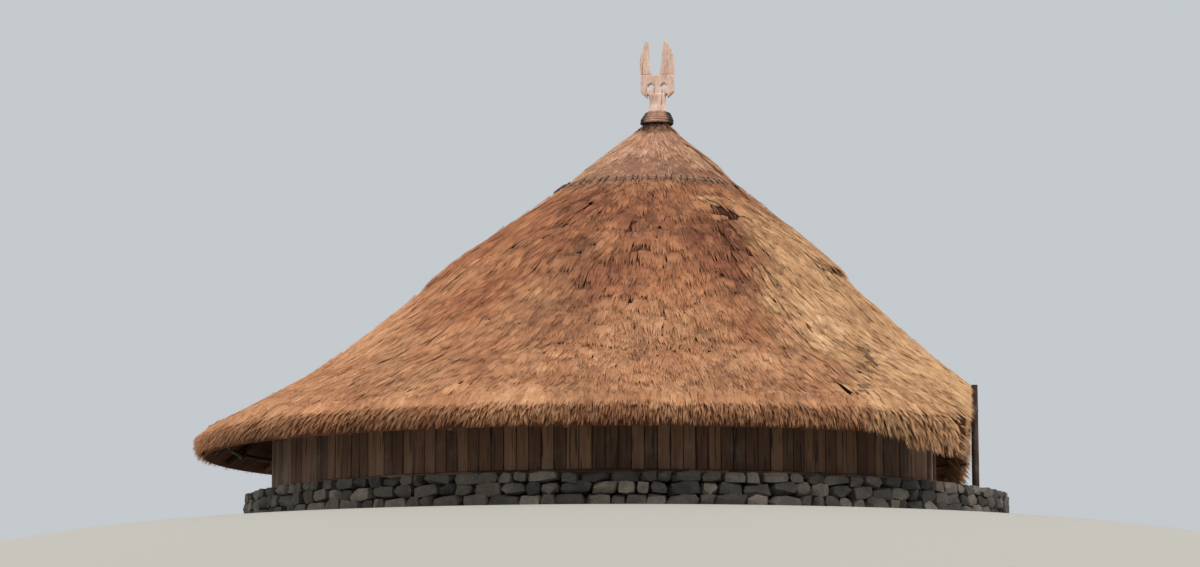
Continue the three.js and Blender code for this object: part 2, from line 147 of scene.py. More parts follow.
def copies(name, models, which, places, marks=None):
    """One piece of placed copies of the models, which are then removed.

    which holds each copy's model and places its 4 by 4 matrix. Each point keeps its own place on its model,
    in metres and shifted for each copy, as grain, and each copy has a random tone. marks gives more values.
    """
    which, places = np.asarray(which), np.asarray(places, float)
    shifts = luck.random((len(which), 3)) * 40
    points, grains, owners, corners, starts = [], [], [], [], []
    point_count = corner_count = 0
    for number, model in enumerate(models):
        chosen = np.flatnonzero(which == number)
        mesh = model.data
        local = np.empty(3 * len(mesh.vertices), np.float32)
        corner = np.empty(len(mesh.loops), np.int32)
        start = np.empty(len(mesh.polygons), np.int32)
        mesh.vertices.foreach_get("co", local)
        mesh.loops.foreach_get("vertex_index", corner)
        mesh.polygons.foreach_get("loop_start", start)
        local = local.reshape(-1, 3)
        turns = places[chosen, :3, :3]
        points.append(np.einsum("nij,pj->npi", turns, local) + places[chosen, None, :3, 3])
        grains.append(local * np.linalg.norm(turns, axis=1)[:, None] + shifts[chosen, None])
        owners.append(np.repeat(chosen, len(local)))
        step = np.arange(len(chosen))[:, None]
        corners.append(corner + step * len(local) + point_count)
        starts.append(start + step * len(corner) + corner_count)
        point_count += len(chosen) * len(local)
        corner_count += len(chosen) * len(corner)
        bpy.data.objects.remove(model)
    owner = np.concatenate(owners)
    mesh = bpy.data.meshes.new(name)
    mesh.vertices.add(point_count)
    mesh.loops.add(corner_count)
    starts = np.concatenate([s.ravel() for s in starts])
    mesh.polygons.add(len(starts))
    move_points(mesh, np.concatenate([p.reshape(-1, 3) for p in points]))
    mesh.loops.foreach_set("vertex_index", np.concatenate([c.ravel() for c in corners]).astype(np.int32))
    mesh.polygons.foreach_set("loop_start", starts.astype(np.int32))
    mesh.update(calc_edges=True)
    marks = {"tone": luck.random(len(which)), **(marks or {})}
    marks = {title: values[owner] for title, values in marks.items()}
    give_marks(mesh, grain=np.concatenate([g.reshape(-1, 3) for g in grains]), **marks)
    piece = bpy.data.objects.new(name, mesh)
    bpy.context.scene.collection.objects.link(piece)
    return piece


def fit(piece, finish, slot, *nodes, crease=35):
    """Gives a piece its finish and smoothing and puts it in the place of the nodes."""
    piece.data.materials.clear()
    piece.data.materials.append(finish)
    pick(piece)
    bpy.ops.object.shade_smooth_by_angle(angle=math.radians(crease))
    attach(piece, "root")
    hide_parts(*nodes)


class Value:
    """A node's output that adds Math nodes where it is used in arithmetic."""

    def __init__(self, finish, socket):
        self.finish, self.socket = finish, socket

    def maths(self, operation, first, second):
        return self.finish.node("Math", {"operation": operation}, {0: first, 1: second})

    def __add__(self, other):
        return self.maths("ADD", self, other)

    def __sub__(self, other):
        return self.maths("SUBTRACT", self, other)

    def __mul__(self, other):
        return self.maths("MULTIPLY", self, other)

    def __rsub__(self, other):
        return self.maths("SUBTRACT", other, self)

    __radd__ = __add__
    __rmul__ = __mul__


class Finish:
    """A material that is put together node by node."""

    def __init__(self, name, **settings):
        self.material = bpy.data.materials.new(name)
        self.material.use_nodes = True
        self.shader = self.material.node_tree.nodes["Principled BSDF"]
        for title, value in settings.items():
            self.feed(self.shader.inputs[title.replace("_", " ")], value)

    def feed(self, socket, value):
        if isinstance(value, Value):
            self.material.node_tree.links.new(value.socket, socket)
        else:
            socket.default_value = value

    def node(self, kind, settings, sockets, output=0):
        """Adds a node and returns one of its outputs. stops are a colour ramp's places and colours."""
        made = self.material.node_tree.nodes.new("ShaderNode" + kind)
        for title, value in settings.items():
            if title == "stops":
                made.color_ramp.elements.remove(made.color_ramp.elements[1])
                made.color_ramp.elements[0].position = value[0][0]
                for place, _ in value[1:]:
                    made.color_ramp.elements.new(place)
                for stop, (_, shade) in zip(made.color_ramp.elements, value):
                    stop.color = shade
            else:
                setattr(made, title, value)
        for title, value in sockets.items():
            self.feed(made.inputs[title], value)
        return Value(self, made.outputs[output])

    def attribute(self, title, output="Fac"):
        return self.node("Attribute", {"attribute_name": title}, {}, output)

    def place(self):
        return self.node("TexCoord", {}, {}, "Object")

    def speckle(self, where, scale, detail=4, roughness=0.6):
        """Noise over coordinates that are stretched by a scale, one number or three."""
        scale = (scale,) * 3 if isinstance(scale, (int, float)) else scale
        stretched = self.node("Mapping", {}, {"Vector": where, "Scale": scale})
        sockets = {"Vector": stretched, "Scale": 1, "Detail": detail, "Roughness": roughness}
        return self.node("TexNoise", {}, sockets)

    def ramp(self, value, *stops):
        """A colour for each value, from (place, colour) stops."""
        return self.node("ValToRGB", {"stops": [(at, paint(shade)) for at, shade in stops]}, {0: value})

    def rise(self, value, low, high):
        """0 below low and 1 above high, and smooth between them."""
        settings = {"interpolation_type": "SMOOTHSTEP"}
        return self.node("MapRange", settings, {"Value": value, "From Min": low, "From Max": high})

    def blend(self, share, first, second, mode="MIX"):
        """Two colours, mixed by a share."""
        settings = {"data_type": "RGBA", "blend_type": mode}
        return self.node("Mix", settings, {0: share, 6: first, 7: second}, 2)

    def colour(self, value):
        self.feed(self.shader.inputs["Base Color"], value)

    def bump(self, height, strength, distance):
        sockets = {"Height": height, "Strength": strength, "Distance": distance}
        self.feed(self.shader.inputs["Normal"], self.node("Bump", {}, sockets))


def paint(code):
    """A colour code such as 8a5a3c as a linear colour."""
    shades = [int(code[i : i + 2], 16) / 255 for i in (0, 2, 4)]
    return [s / 12.92 if s <= 0.04045 else ((s + 0.055) / 1.055) ** 2.4 for s in shades] + [1]


def stone_finish():
    finish = Finish("field_stone", Roughness=0.9)
    place, tone = finish.place(), finish.attribute("tone")
    patches = finish.speckle(place, 5, 6)
    pits = finish.speckle(place, 38, 6, 0.7)
    shade = tone * 0.55 + patches * 0.7 - 0.12
    stone = finish.ramp(shade, (0.15, "2a2724"), (0.4, "453f39"), (0.62, "5d554c"), (0.85, "7b7166"))
    moss = finish.rise(finish.speckle(place, 2.3, 5), 0.58, 0.72)
    stone = finish.blend(moss * 0.35, stone, paint("5e5f43"))
    stone = finish.blend(0.7, stone, finish.ramp(pits, (0.3, "8c8c8c"), (0.6, "ffffff")), "MULTIPLY")
    finish.colour(stone)
    finish.bump(pits * 0.6 + patches, 0.7, 0.02)
    return finish.material


def stone_model(seed):
    """An angular lump that fills the unit box: a cube cut up, bulged, pulled about and wrapped in a hull."""
    rng = np.random.default_rng(seed)
    stone = added(bpy.ops.mesh.primitive_cube_add, size=1)
    with editing(stone):
        bpy.ops.mesh.subdivide(number_cuts=1, smoothness=0.55)
    for point in stone.data.vertices:
        point.co *= rng.uniform(0.82, 1.08)
        point.co += Vector(rng.normal(0, 0.045, 3))
    with editing(stone):
        bpy.ops.mesh.convex_hull()
    points = points_of(stone.data)
    low, high = points.min(0), points.max(0)
    move_points(stone.data, (points - low) / (high - low) - 0.5)
    return stone


def span(*nodes):
    """Lowest and highest corner of several nodes."""
    boxes = [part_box(node) for node in nodes]
    return Vector(map(min, *(low for low, _ in boxes))), Vector(map(max, *(high for _, high in boxes)))


ring_nodes = [f"plinth_{i + 1}" for i in range(RING_LENGTHS)]
ring_low, ring_high = span(*ring_nodes)
RING_X = (ring_low.x + ring_high.x) / 2  # the wall, floor and stone ring are centred here
RING_TOP = ring_high.z

stone_grey = stone_finish()
stones = [[] for _ in ring_nodes]
foot = 0.0
for height in COURSES:
    for inner, outer in STONE_ROWS:
        angle, middle = luck.uniform(0, 0.05), (inner + outer) / 2
        while angle < 2 * math.pi:
            length = luck.uniform(*STONE_LENGTHS)
            turn = length / middle
            at = angle + turn / 2
            centre = Vector((RING_X + middle * math.cos(at), middle * math.sin(at), foot + height / 2))
            tilt = luck.uniform(-STONE_TURN, STONE_TURN, 3)
            facing = Matrix.Rotation(at + math.pi / 2 + tilt[0], 4, "Z")
            facing @= Matrix.Rotation(tilt[1], 4, "X") @ Matrix.Rotation(tilt[2], 4, "Y")
            depth = (outer - inner) * luck.uniform(*STONE_DEPTHS)
            size = Matrix.Diagonal((length * STONE_LAP, depth, height * luck.uniform(*STONE_HEIGHTS), 1))
            number = int(at / (2 * math.pi) * RING_LENGTHS) % RING_LENGTHS
            stones[number].append(Matrix.Translation(centre) @ facing @ size)
            angle += turn
    foot += height
for number, places in enumerate(stones):
    shapes = [stone_model(seed) for seed in range(STONE_SHAPES)]
    which = luck.integers(0, STONE_SHAPES, len(places))
    stretch = copies(f"field_stones_{number + 1}", shapes, which, places)
    for point in stretch.data.vertices:
        point.co.z = min(max(point.co.z, 0), RING_TOP - 0.001)
    fit(stretch, stone_grey, "field_stone", ring_nodes[number], crease=38)

# Floor. Sawn boards 20 cm wide lie front to back on two hewn bearers and on the stone ring. They are fitted
# round the posts and trimmed to the line of the wall.
BOARD_WIDTH = 0.2
BOARD_GAP = 0.006
BOARD_BEVEL = 0.005
BOARD_SPARE = 0.1  # length that is trimmed off

noise.seed_set(11)  # or else noise_vector would follow the clock


def cut_across(model, stations, length=1.0):
    """Cuts a model that lies along X, about the origin, into stations of even length."""
    with editing(model):
        for i in range(1, stations):
            bpy.ops.mesh.select_all(action="SELECT")
            bpy.ops.mesh.bisect(plane_co=(length * (i / stations - 0.5), 0, 0), plane_no=(1, 0, 0))


def block_model(size, bevel, stations, depth, seed):
    """A bevelled block along X, about the origin, with cuts across it and a surface uneven by the depth."""
    block = added(bpy.ops.mesh.primitive_cube_add, size=1, scale=[edge - 2 * depth for edge in size])
    soften = block.modifiers.new("soften", "BEVEL")
    soften.width, soften.segments, soften.limit_method = bevel, 2, "NONE"
    bpy.ops.object.modifier_apply(modifier=soften.name)
    cut_across(block, stations, size[0])
    for point in block.data.vertices:
        point.co += depth * noise.noise_vector(point.co / 0.25 + Vector((7.3 * seed, 0, 0)))
    return block


ALONG = (
    Matrix.Identity(4),
    Matrix.Rotation(math.pi / 2, 4, "Z"),
    Matrix.Rotation(-math.pi / 2, 4, "Y"),
)  # turn a model that lies along X to lie along X, Y or Z


def timber(node, finish, bevel=0.012, depth=0.004):
    """A hewn timber in the place of a node that is a plain block."""
    low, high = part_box(node)
    size = high - low
    axis = max(range(3), key=lambda i: size[i])
    own = (size, Vector((size.y, size.x, size.z)), Vector((size.z, size.y, size.x)))[axis]
    model = block_model(own, bevel, max(2, round(own.x / 0.3)), depth, len(node))
    piece = copies(f"{node}_hewn", [model], [0], [Matrix.Translation((low + high) / 2) @ ALONG[axis]])
    fit(piece, finish, "dark_timber", node)


def timber_finish(name, deep, middle, pale, rough=0.8, dust=0.3):
    """Weathered wood: fibres and checks along the grain, and grey dust that gathers in patches."""
    finish = Finish(name, Roughness=rough)
    grain, tone, place = finish.attribute("grain", "Vector"), finish.attribute("tone"), finish.place()
    fibres = finish.speckle(grain, (2.2, 55, 55), 8, 0.7)
    bands = finish.speckle(grain, (0.8, 9, 9), 3)
    checks = finish.rise(finish.speckle(grain, (1.6, 28, 28), 2, 0.4), 0.6, 0.68)
    shade = fibres * 0.5 + bands * 0.45 + tone * 0.35 - 0.18
    wood = finish.ramp(shade, (0.2, deep), (0.48, middle), (0.8, pale))
    grey = finish.rise(finish.speckle(place, 3.1, 5), 0.5, 0.75)
    wood = finish.blend(grey * dust, wood, paint("8d8274"))
    wood = finish.blend(checks * 0.75, wood, paint("1c130d"))
    finish.colour(wood)
    finish.bump(fibres * 0.5 - checks, 0.6, 0.006)
    return finish.material


def merged_copy(node, name):
    """A copy of a CAD node with its loose triangles joined."""
    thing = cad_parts[node].copy()
    thing.data = thing.data.copy()
    thing.name, thing.parent = name, None
    thing.hide_render = thing.hide_viewport = False
    for key in list(thing.keys()):
        del thing[key]
    bpy.context.scene.collection.objects.link(thing)
    with editing(thing):
        bpy.ops.mesh.remove_doubles(threshold=0.0001)
    return thing


BOARD_TURNS = {
    (0, 1): Matrix.Identity(4),
    (2, 1): Matrix.Rotation(-math.pi / 2, 4, "Y"),
}  # a board model lies along X with its width along Y


def trimmed_boards(name, node, axis, across, through):
    """Boards along one axis, side by side across another, cut to a node's outline as seen along the third."""
    low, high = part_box(node)
    count = max(1, round((high[across] - low[across]) / BOARD_WIDTH))
    pitch = (high[across] - low[across]) / count
    length, depth = high[axis] - low[axis] + BOARD_SPARE, high[through] - low[through]
    centre = (low + high) / 2
    places, shapes = [], []
    for i in range(count):
        model = block_model(Vector((length, pitch - BOARD_GAP, depth)), BOARD_BEVEL, 5, 0.0015, i)
        here = centre.copy()
        here[across] = low[across] + (i + 0.5) * pitch
        shapes.append(model)
        places.append(Matrix.Translation(here) @ BOARD_TURNS[axis, across])
    boards = copies(name, shapes, range(count), places)
    outline = merged_copy(node, "outline")
    for point in outline.data.vertices:
        point.co[through] = centre[through] + 3 * (point.co[through] - centre[through])
    trim = boards.modifiers.new("trim", "BOOLEAN")
    trim.operation, trim.solver, trim.object = "INTERSECT", "EXACT", outline
    pick(boards)
    bpy.ops.object.modifier_apply(modifier=trim.name)
    bpy.data.objects.remove(outline)
    points = points_of(boards.data)
    board = np.clip((points[:, across] - low[across]) // pitch, 0, count - 1)
    grain = np.stack([points[:, axis] + 3.7 * board, points[:, across], points[:, through]], 1)
    give_marks(boards.data, grain=grain, tone=board * 0.618 % 1)
    return boards


board_brown = timber_finish("weathered_boards", "3b271a", "6a4a33", "927055")
dark_wood = timber_finish("hewn_timber", "22160f", "432c1e", "6a4a34", 0.85)
for node in ("floor_bearer_front", "floor_bearer_back"):
    timber(node, dark_wood)
fit(trimmed_boards("floor_boards", "floor", 0, 1, 2), board_brown, "boards", "floor", crease=30)

# Posts and ties. The centre post stands on the ground and carries the tip of the roof and the finial. Four
# main posts stand in a square about it, and carry crossed tie beams under the middle ring of the roof.
ON_SIDE = (0, math.pi / 2, 0)  # turns a primitive to lie along X


def pole_model(stations, taper, bend, seed, sides=14):
    """A pole of unit length and radius along X, thinner towards +X by the taper, uneven and a little bent."""
    pole = added(bpy.ops.mesh.primitive_cylinder_add, vertices=sides, radius=1, depth=1, rotation=ON_SIDE)
    cut_across(pole, stations)
    for point in pole.data.vertices:
        along = point.co.x + 0.5
        width = (1 - taper * along) * (1 - bend)
        width *= 0.97 + 0.03 * noise.noise(Vector((along * 9, *point.co.yz)) + Vector((seed, 0, 0)))
        sway = noise.noise_vector(Vector((along * 2.5, seed * 3.1, 0))) * bend * 0.9
        point.co.y = point.co.y * width + sway.y
        point.co.z = point.co.z * width + sway.z
    return pole


def between(start, end, radius, flat=None):
    """Matrix that lays a unit model along X from start to end. flat is the other radius of an oval one."""
    start, end = Vector(start), Vector(end)
    run = end - start
    side = Vector((0, 0, 1)).cross(run)
    side = side.normalized() if side.length > 1e-6 * run.length else Vector((0, 1, 0))
    over = run.normalized().cross(side)
    turned = Matrix((run, side * radius, over * (flat or radius))).transposed().to_4x4()
    return Matrix.Translation((start + end) / 2) @ turned


def post(node, taper, bend, finish):
    """A round post in the place of a node."""
    low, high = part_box(node)
    middle = (low + high) / 2
    radius = (high.x - low.x) / 2
    place = between((*middle.xy, low.z), (*middle.xy, high.z), radius)
    piece = copies(f"{node}_trunk", [pole_model(10, taper, bend, len(node) + middle.y)], [0], [place])
    fit(piece, finish, "dark_timber", node)


post("centre_post", 0.22, 0.03, dark_wood)
for number in range(4):
    post(f"main_post_{number + 1}", 0.08, 0.04, dark_wood)
for side in ("left", "right", "front", "back"):
    timber(f"tie_beam_{side}", dark_wood)

# Round wall. Boards 16 cm wide stand side by side on the floor, eight to each straight stretch between two
# roof poles, pegged to two rails on the inner side. A wider board meets each round post beside the front.
SPOKES = 24
STEP = 2 * math.pi / SPOKES
WALL_RADIUS = 5.0
FRONT_ANGLE = 2 * STEP
WALL_LENGTHS = 10
BOARDS_A_STRETCH = 8
WALL_BOARD = 0.03  # thickness
RAIL = (0.05, 0.026)  # height and thickness
RAIL_HEIGHTS = (0.14, 0.78)  # over the floor
CORNER_GAP = 0.072  # from a corner of the wall to its first board, which is a wide one


def outward(angle):
    """Level direction away from the middle of the house."""
    return Vector((math.cos(angle), math.sin(angle), 0))


def facing_out(angle):
    """Matrix that stands a model upright, with its width along the wall and its thickness across it."""
    up = Vector((0, 0, 1))
    out = outward(angle)
    return Matrix((up, out.cross(up), out)).transposed().to_4x4()


wall_low, wall_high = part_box("ring_wall_3")
stretch_length = 2 * WALL_RADIUS * math.sin(STEP / 2)
wall_face = WALL_RADIUS * math.cos(STEP / 2)  # distance of a stretch's outer face from the middle
board_width = stretch_length / BOARDS_A_STRETCH
wall_height = wall_high.z - wall_low.z
for number in range(WALL_LENGTHS):
    places, which = [], []
    for half in range(2):
        at = FRONT_ANGLE + (2 * number + half + 0.5) * STEP
        out = outward(at)
        along = Vector((-math.sin(at), math.cos(at), 0))
        corner = {(0, 0): 0, (WALL_LENGTHS - 1, 1): BOARDS_A_STRETCH - 1}.get((number, half))
        for i in range(BOARDS_A_STRETCH):
            if i == corner:
                continue  # a corner post stands here
            off = (i + 0.5) * board_width - stretch_length / 2
            wide = corner is not None and abs(corner - i) == 1
            if wide:
                off += (corner - i) * (board_width - CORNER_GAP) / 2
            centre = Vector((RING_X, 0, wall_low.z + wall_height / 2)) + along * off
            centre += out * (wall_face - WALL_BOARD / 2 - luck.uniform(0, 0.006))
            lean = Matrix.Rotation(luck.uniform(-0.006, 0.006), 4, "Z")
            places.append(Matrix.Translation(centre) @ facing_out(at) @ lean)
            kind = int(luck.integers(0, 3))
            which.append(4 if wide else kind)
        inside_face = wall_face - WALL_BOARD - BOARD_GAP
        for height in RAIL_HEIGHTS:
            centre = Vector((RING_X, 0, wall_low.z + height)) + out * (inside_face - RAIL[1] / 2)
            places.append(Matrix.Translation(centre) @ facing_out(at) @ Matrix.Rotation(math.pi / 2, 4, "Z"))
            which.append(3)
    shapes = [
        block_model(Vector((wall_height, board_width - BOARD_GAP, WALL_BOARD)), BOARD_BEVEL, 4, 0.002, seed)
        for seed in range(3)
    ]
    shapes.append(block_model(Vector((stretch_length - 0.1, *RAIL)), BOARD_BEVEL, 4, 0.001, 9))
    wide_board = Vector((wall_height, 2 * board_width - CORNER_GAP - BOARD_GAP, WALL_BOARD))
    shapes.append(block_model(wide_board, BOARD_BEVEL, 4, 0.002, 3))
    boards = copies(f"wall_boards_{number + 1}", shapes, which, places)
    fit(boards, board_brown, "boards", f"ring_wall_{number + 1}")
for side in ("left", "right"):
    post(f"corner_post_{side}", 0.03, 0.03, dark_wood)

# Wall plate. A hewn ring lies on the round wall and carries the roof poles. It is built up of one beam to
# each stretch of wall, squared with an axe, and the beams meet at the poles.
PLATE_DEPTH = 0.125
PLATE_SHAPES = 4

_, plate_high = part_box("wall_plate")
plate_height = plate_high.z - wall_high.z
places = []
for number in range(2 * WALL_LENGTHS):
    at = FRONT_ANGLE + (number + 0.5) * STEP
    out = outward(at)
    centre = Vector((RING_X, 0, plate_high.z - plate_height / 2)) + out * (wall_face - PLATE_DEPTH / 2)
    places.append(Matrix.Translation(centre) @ Matrix.Rotation(at + math.pi / 2, 4, "Z"))
beam = Vector((stretch_length - 0.02, PLATE_DEPTH, plate_height))
shapes = [block_model(beam, 0.02, 5, 0.004, seed) for seed in range(PLATE_SHAPES)]
which = [number % PLATE_SHAPES for number in range(len(places))]
pole_brown = timber_finish("roof_poles", "2e1f15", "5c4230", "8a6a4e", 0.85)
fit(copies("wall_plate_beams", shapes, which, places), pole_brown, "poles", "wall_plate")

# Front and porch. The straight front is of upright planks round a doorway with a pegged frame, set back under
# the thatch. Two round posts at its edge carry a lintel, on which the two brow poles of the roof rest.
for side in ("left", "right", "over_door"):
    planks = trimmed_boards(f"front_planks_{side}", f"front_wall_{side}", 2, 1, 0)
    fit(planks, board_brown, "boards", f"front_wall_{side}", crease=30)
for node in ("door_sill", "door_jamb_left", "door_jamb_right", "door_head"):
    timber(node, dark_wood, bevel=0.008, depth=0.0015)
timber("porch_lintel", dark_wood)
for side in ("left", "right"):
    post(f"porch_post_{side}", 0.05, 0.05, dark_wood)

# Roof poles. Twenty-four round poles run from a hub at the centre post down to the eave, and three rings of
# thinner poles are lashed under them. Over the entrance they stop short, behind the cut edge of the thatch.
TIP = 5.93  # height where the slopes of the top layer would meet
SLOPE = 0.78  # fall for each metre of radius
LEAN = 0.105  # shift of the roof's rings along X for each metre of height
SLANT = math.hypot(1, SLOPE)  # length down the slope for each metre of radius
POLE_RADIUS = 0.04
POLE_TIP = TIP - 0.4 - POLE_RADIUS * SLANT - 0.004  # where the middles of the poles would meet
POLE_REACH = (0.3, 5.75)  # radius of the two ends
POLE_STOP, BROW_POLE_STOP = 4.29, 4.47  # X where the poles over the entrance stop
RINGS = (1.6, 3.3, 5.55)
RING_DROP = 0.045  # of a ring below the middle of the poles, upright


def leant(radius, angle, height):
    """Points of the leaning roof, from radius and angle about its axis and height."""
    radius, angle, height = np.broadcast_arrays(radius, angle, height)
    return np.stack([radius * np.cos(angle) + LEAN * (height - TIP), radius * np.sin(angle), height], -1)


def pole_point(radius, angle, drop=0.0):
    return Vector(leant(radius, angle, POLE_TIP - SLOPE * radius - drop))


def joined(parts):
    """Joins meshes into the first of them."""
    pick(parts[0])
    for part in parts:
        part.select_set(True)
    bpy.ops.object.join()
    return parts[0]


def rope_turn(radius, thickness, segments, **place):
    """A closed turn of rope about the Z axis, with a number of segments round it and through it."""
    sizes = {"major_radius": radius, "minor_radius": thickness}
    rings = {"major_segments": segments[0], "minor_segments": segments[1]}
    return added(bpy.ops.mesh.primitive_torus_add, **sizes, **rings, **place)


def lashing_model():
    """Four turns of cord round the X axis, of radius one."""
    askew = (0.05, math.pi / 2, 0.08)
    places = [(x, 0, 0) for x in (-0.42, -0.14, 0.14, 0.42)]
    return joined([rope_turn(1, 0.15, (12, 3), location=place, rotation=askew) for place in places])


places = []
for spoke in range(SPOKES):
    at = spoke * STEP
    stop = BROW_POLE_STOP if spoke in (1, SPOKES - 1) else POLE_STOP
    facing_front = math.cos(at) - LEAN * SLOPE
    end = POLE_REACH[1]
    if facing_front > 0:
        end = min(end, (stop - LEAN * (POLE_TIP - TIP)) / facing_front)
    places.append(between(pole_point(POLE_REACH[0], at), pole_point(end, at), -POLE_RADIUS * 1.05))
poles = [pole_model(9, -0.25, 0.1, seed) for seed in range(5)]
which = [spoke % 5 for spoke in range(SPOKES)]
for radius in RINGS:
    for spoke in range(SPOKES):
        if radius == RINGS[-1] and spoke in (0, 1, SPOKES - 2, SPOKES - 1):
            continue  # open over the entrance
        out = radius + 0.012 * (-1) ** spoke  # the ends of a ring's poles overlap, side by side
        start, end = (pole_point(out, (spoke + side) * STEP, RING_DROP) for side in (-0.06, 1.06))
        places.append(between(start, end, POLE_RADIUS * 0.85))
        which.append(5 + spoke % 3)
poles += [pole_model(5, 0.12, 0.1, 20 + seed, 10) for seed in range(3)]
places.append(between(pole_point(0, 0, 0.3), pole_point(0, 0, 0.17), 0.36))
which.append(len(poles))
poles.append(pole_model(3, 0.0, 0.02, 40, 28))
for radius in RINGS:
    for spoke in range(SPOKES):
        centre = pole_point(radius, spoke * STEP, RING_DROP / 2)
        if centre.x < POLE_STOP - 0.1:
            along = pole_point(radius + 1, spoke * STEP) - pole_point(radius, spoke * STEP)
            half = along.normalized() * 0.05
            places.append(between(centre - half, centre + half, 0.062, 0.07))
            which.append(len(poles))
poles.append(lashing_model())
fit(copies("roof_poles", poles, which, places), pole_brown, "poles", "rafters", crease=50)

# Thatch. Straw is laid on the poles in thin courses from the eave up, each lapping over the one below, and is
# thickest near the top. It has weathered reddish, and is yellower on the sheet that laps over it at the
# porch;
# that yellow is also painted lighter there, as painted sunlight on that side.
THATCH_TIP = TIP - 0.07
TIER_ENDS = ((3.0, 0.07, 0.14), (3.66, 0.12, 0.06))  # radius, run and drop where each tier ends
TIER_WANDER = ((0.13, 0.9, 17), (0.06, 0.25, 18))  # of a tier's end, in and out: reach, size and shift
WAVES = ((0.035, 1.1, 0), (0.02, 0.35, 9))  # of the straw's face, up and down, given in the same way
TIER_OVERHANG = 0.07  # of the straw ends past the mat
SKIRT_RADIUS, SKIRT_SLOPE = 4.5, 0.6  # the slope eases outside this radius
EAVE_RADIUS = 6.1
BROW_X = 4.35  # the thatch is cut off straight here
MAT_DEPTH = 0.325  # from the thatch's face to the mat's underside, upright
MAT_DROP = 0.07  # of the mat's upper side below the ends of the straw
MAT_LEAST = 0.03  # thickness of the mat where it is thinnest
MAT_STEPS = 180
SEAM_DEGREES = 53  # each side of the porch
SEAM = math.radians(SEAM_DEGREES)
SEAM_TOP = 1.95  # radius where the seams begin
SEAM_LAP = 0.03  # thickness of the lap
SEAM_RUN = (0.05, 0.3)  # over which it thins out, at the seam and at its top
GOLD_RUN = 0.6  # over which the yellow straw, partly painted sunlight, gives way to the red at the seam
LOW_STRAW = (2.6, 1.4, 0.42)  # radius from which the red straw is paler, over what run, and by how much
HOLE_DEPTH = 0.24
TIERS = {"eave": (5.36, 6.07), "lower": (4.5, 5.36), "middle": (3.2, 4.5), "upper": (1.2, 3.2)}
TUFT_SPACING = (0.1, 0.062)  # down the slope and across it
TUFTS = ((0.34, 0.5), (0.075, 0.11), (0.014, 0.024))  # least and most length, width and depth
TUFT_SHAPES = 6
SLOPE_REACH = 0.25  # length over which a tuft takes its slope from the straw under it

# Holes and hollows in the straw: radius, angle in degrees, half width, half length down the slope, and depth.
# The straw in each is also painted darker by its depth, as painted shade.
HOLLOWS = [
    (2.12, -54.8, 0.12, 0.075, HOLE_DEPTH),
    (2.11, -51.8, 0.13, 0.085, HOLE_DEPTH),
    (2.18, -48.8, 0.12, 0.07, HOLE_DEPTH),
    (2.51, -58.0, 0.1, 0.07, 0.06),
    (2.54, -53.5, 0.09, 0.07, 0.06),
    (3.02, -53.5, 0.16, 0.07, 0.07),
    (3.25, -50.0, 0.12, 0.07, 0.06),
    (4.15, -52.6, 0.08, 0.1, 0.045),
    (3.03, -84.0, 0.2, 0.14, 0.065),
    (2.45, -114.5, 0.12, 0.1, 0.045),
    (1.78, -109.0, 0.2, 0.09, 0.045),
    (2.41, -80.5, 0.18, 0.07, 0.045),
    (3.04, -75.0, 0.18, 0.07, 0.045),
    (3.13, -108.5, 0.16, 0.08, 0.045),
    (3.15, -62.5, 0.16, 0.08, 0.045),
    (0.8, -26.0, 0.1, 0.5, 0.05),
    (1.3, -21.0, 0.11, 0.5, 0.054),
    (1.8, -17.0, 0.12, 0.5, 0.054),
    (2.25, -14.0, 0.12, 0.45, 0.054),
]
CREASE = ((4.45, -37.0), (6.0, -52.0))  # radius and angle of both ends of a fold beside the porch, painted dark as shade
for share in np.linspace(0, 1, 12):
    radius, angle = (CREASE[0][i] + (CREASE[1][i] - CREASE[0][i]) * share for i in range(2))
    HOLLOWS.append((radius, angle, 0.06, 0.14, 0.08))
# These patches only make the straw's tone darker or paler; their cause is not known.
BROAD_TONE_PATCHES = (
    (3.9, -92.0, 1.7, 1.5, -0.5),
    (3.4, -58.0, 0.9, 1.5, -0.45),
    (3.9, -148.0, 2.0, 2.4, 0.9),
)  # broad patches of darker and of paler straw, given in the same way, with the change of tone
FLAP = (1.97, -49.5, 0.6, 0.2, 0.045)  # the straw raised above the hole, given in the same way
GULLIES = 90  # narrow worn dents down the slope, painted dark as shade
SEAM_GULLIES = 14  # and along the seam at the porch's right side
GULLY_DEPTH = 0.04

gullies = []
for _ in range(GULLIES):
    radius, angle = luck.uniform(2, 5.7), luck.uniform(-180, 180)
    gullies.append((radius, angle, luck.uniform(0.04, 0.09), luck.uniform(0.15, 0.6), GULLY_DEPTH))
for _ in range(SEAM_GULLIES):
    radius, angle = luck.uniform(2.6, 5.6), -SEAM_DEGREES + luck.normal(1, 3)
    gullies.append((radius, angle, 0.06, luck.uniform(0.2, 0.5), GULLY_DEPTH))


def smooth(value):
    value = np.clip(value, 0, 1)
    return value * value * (3 - 2 * value)


def tier_drop(radius, spread=1.0):
    """How far the face has dropped at the ends of tiers out to a radius, over their runs times the spread."""
    shift = 0.5 - 0.5 / spread
    return sum(drop * smooth((radius - end) / (run * spread) + shift) for end, run, drop in TIER_ENDS)


def tier_spread(angle):
    """The steps are sharp at the porch and opposite to it, and worn to gentle slopes at the other sides."""
    return 1 + 13 * smooth((np.abs(np.sin(angle)) - 0.3) / 0.45) + 3 * smooth(-2 * np.cos(angle) - 1)


def thatch_height(radius):
    skirt = np.maximum(0, radius - SKIRT_RADIUS)
    return THATCH_TIP - SLOPE * (radius - skirt) - SKIRT_SLOPE * skirt - tier_drop(radius)


def from_porch(angle):
    """Angle to either side of the porch, from 0 to half a turn."""
    return np.abs((angle + math.pi) % (2 * math.pi) - math.pi)


def mat_foot(radius):
    """Height of the mat's underside."""
    return THATCH_TIP - MAT_DEPTH - SLOPE * radius


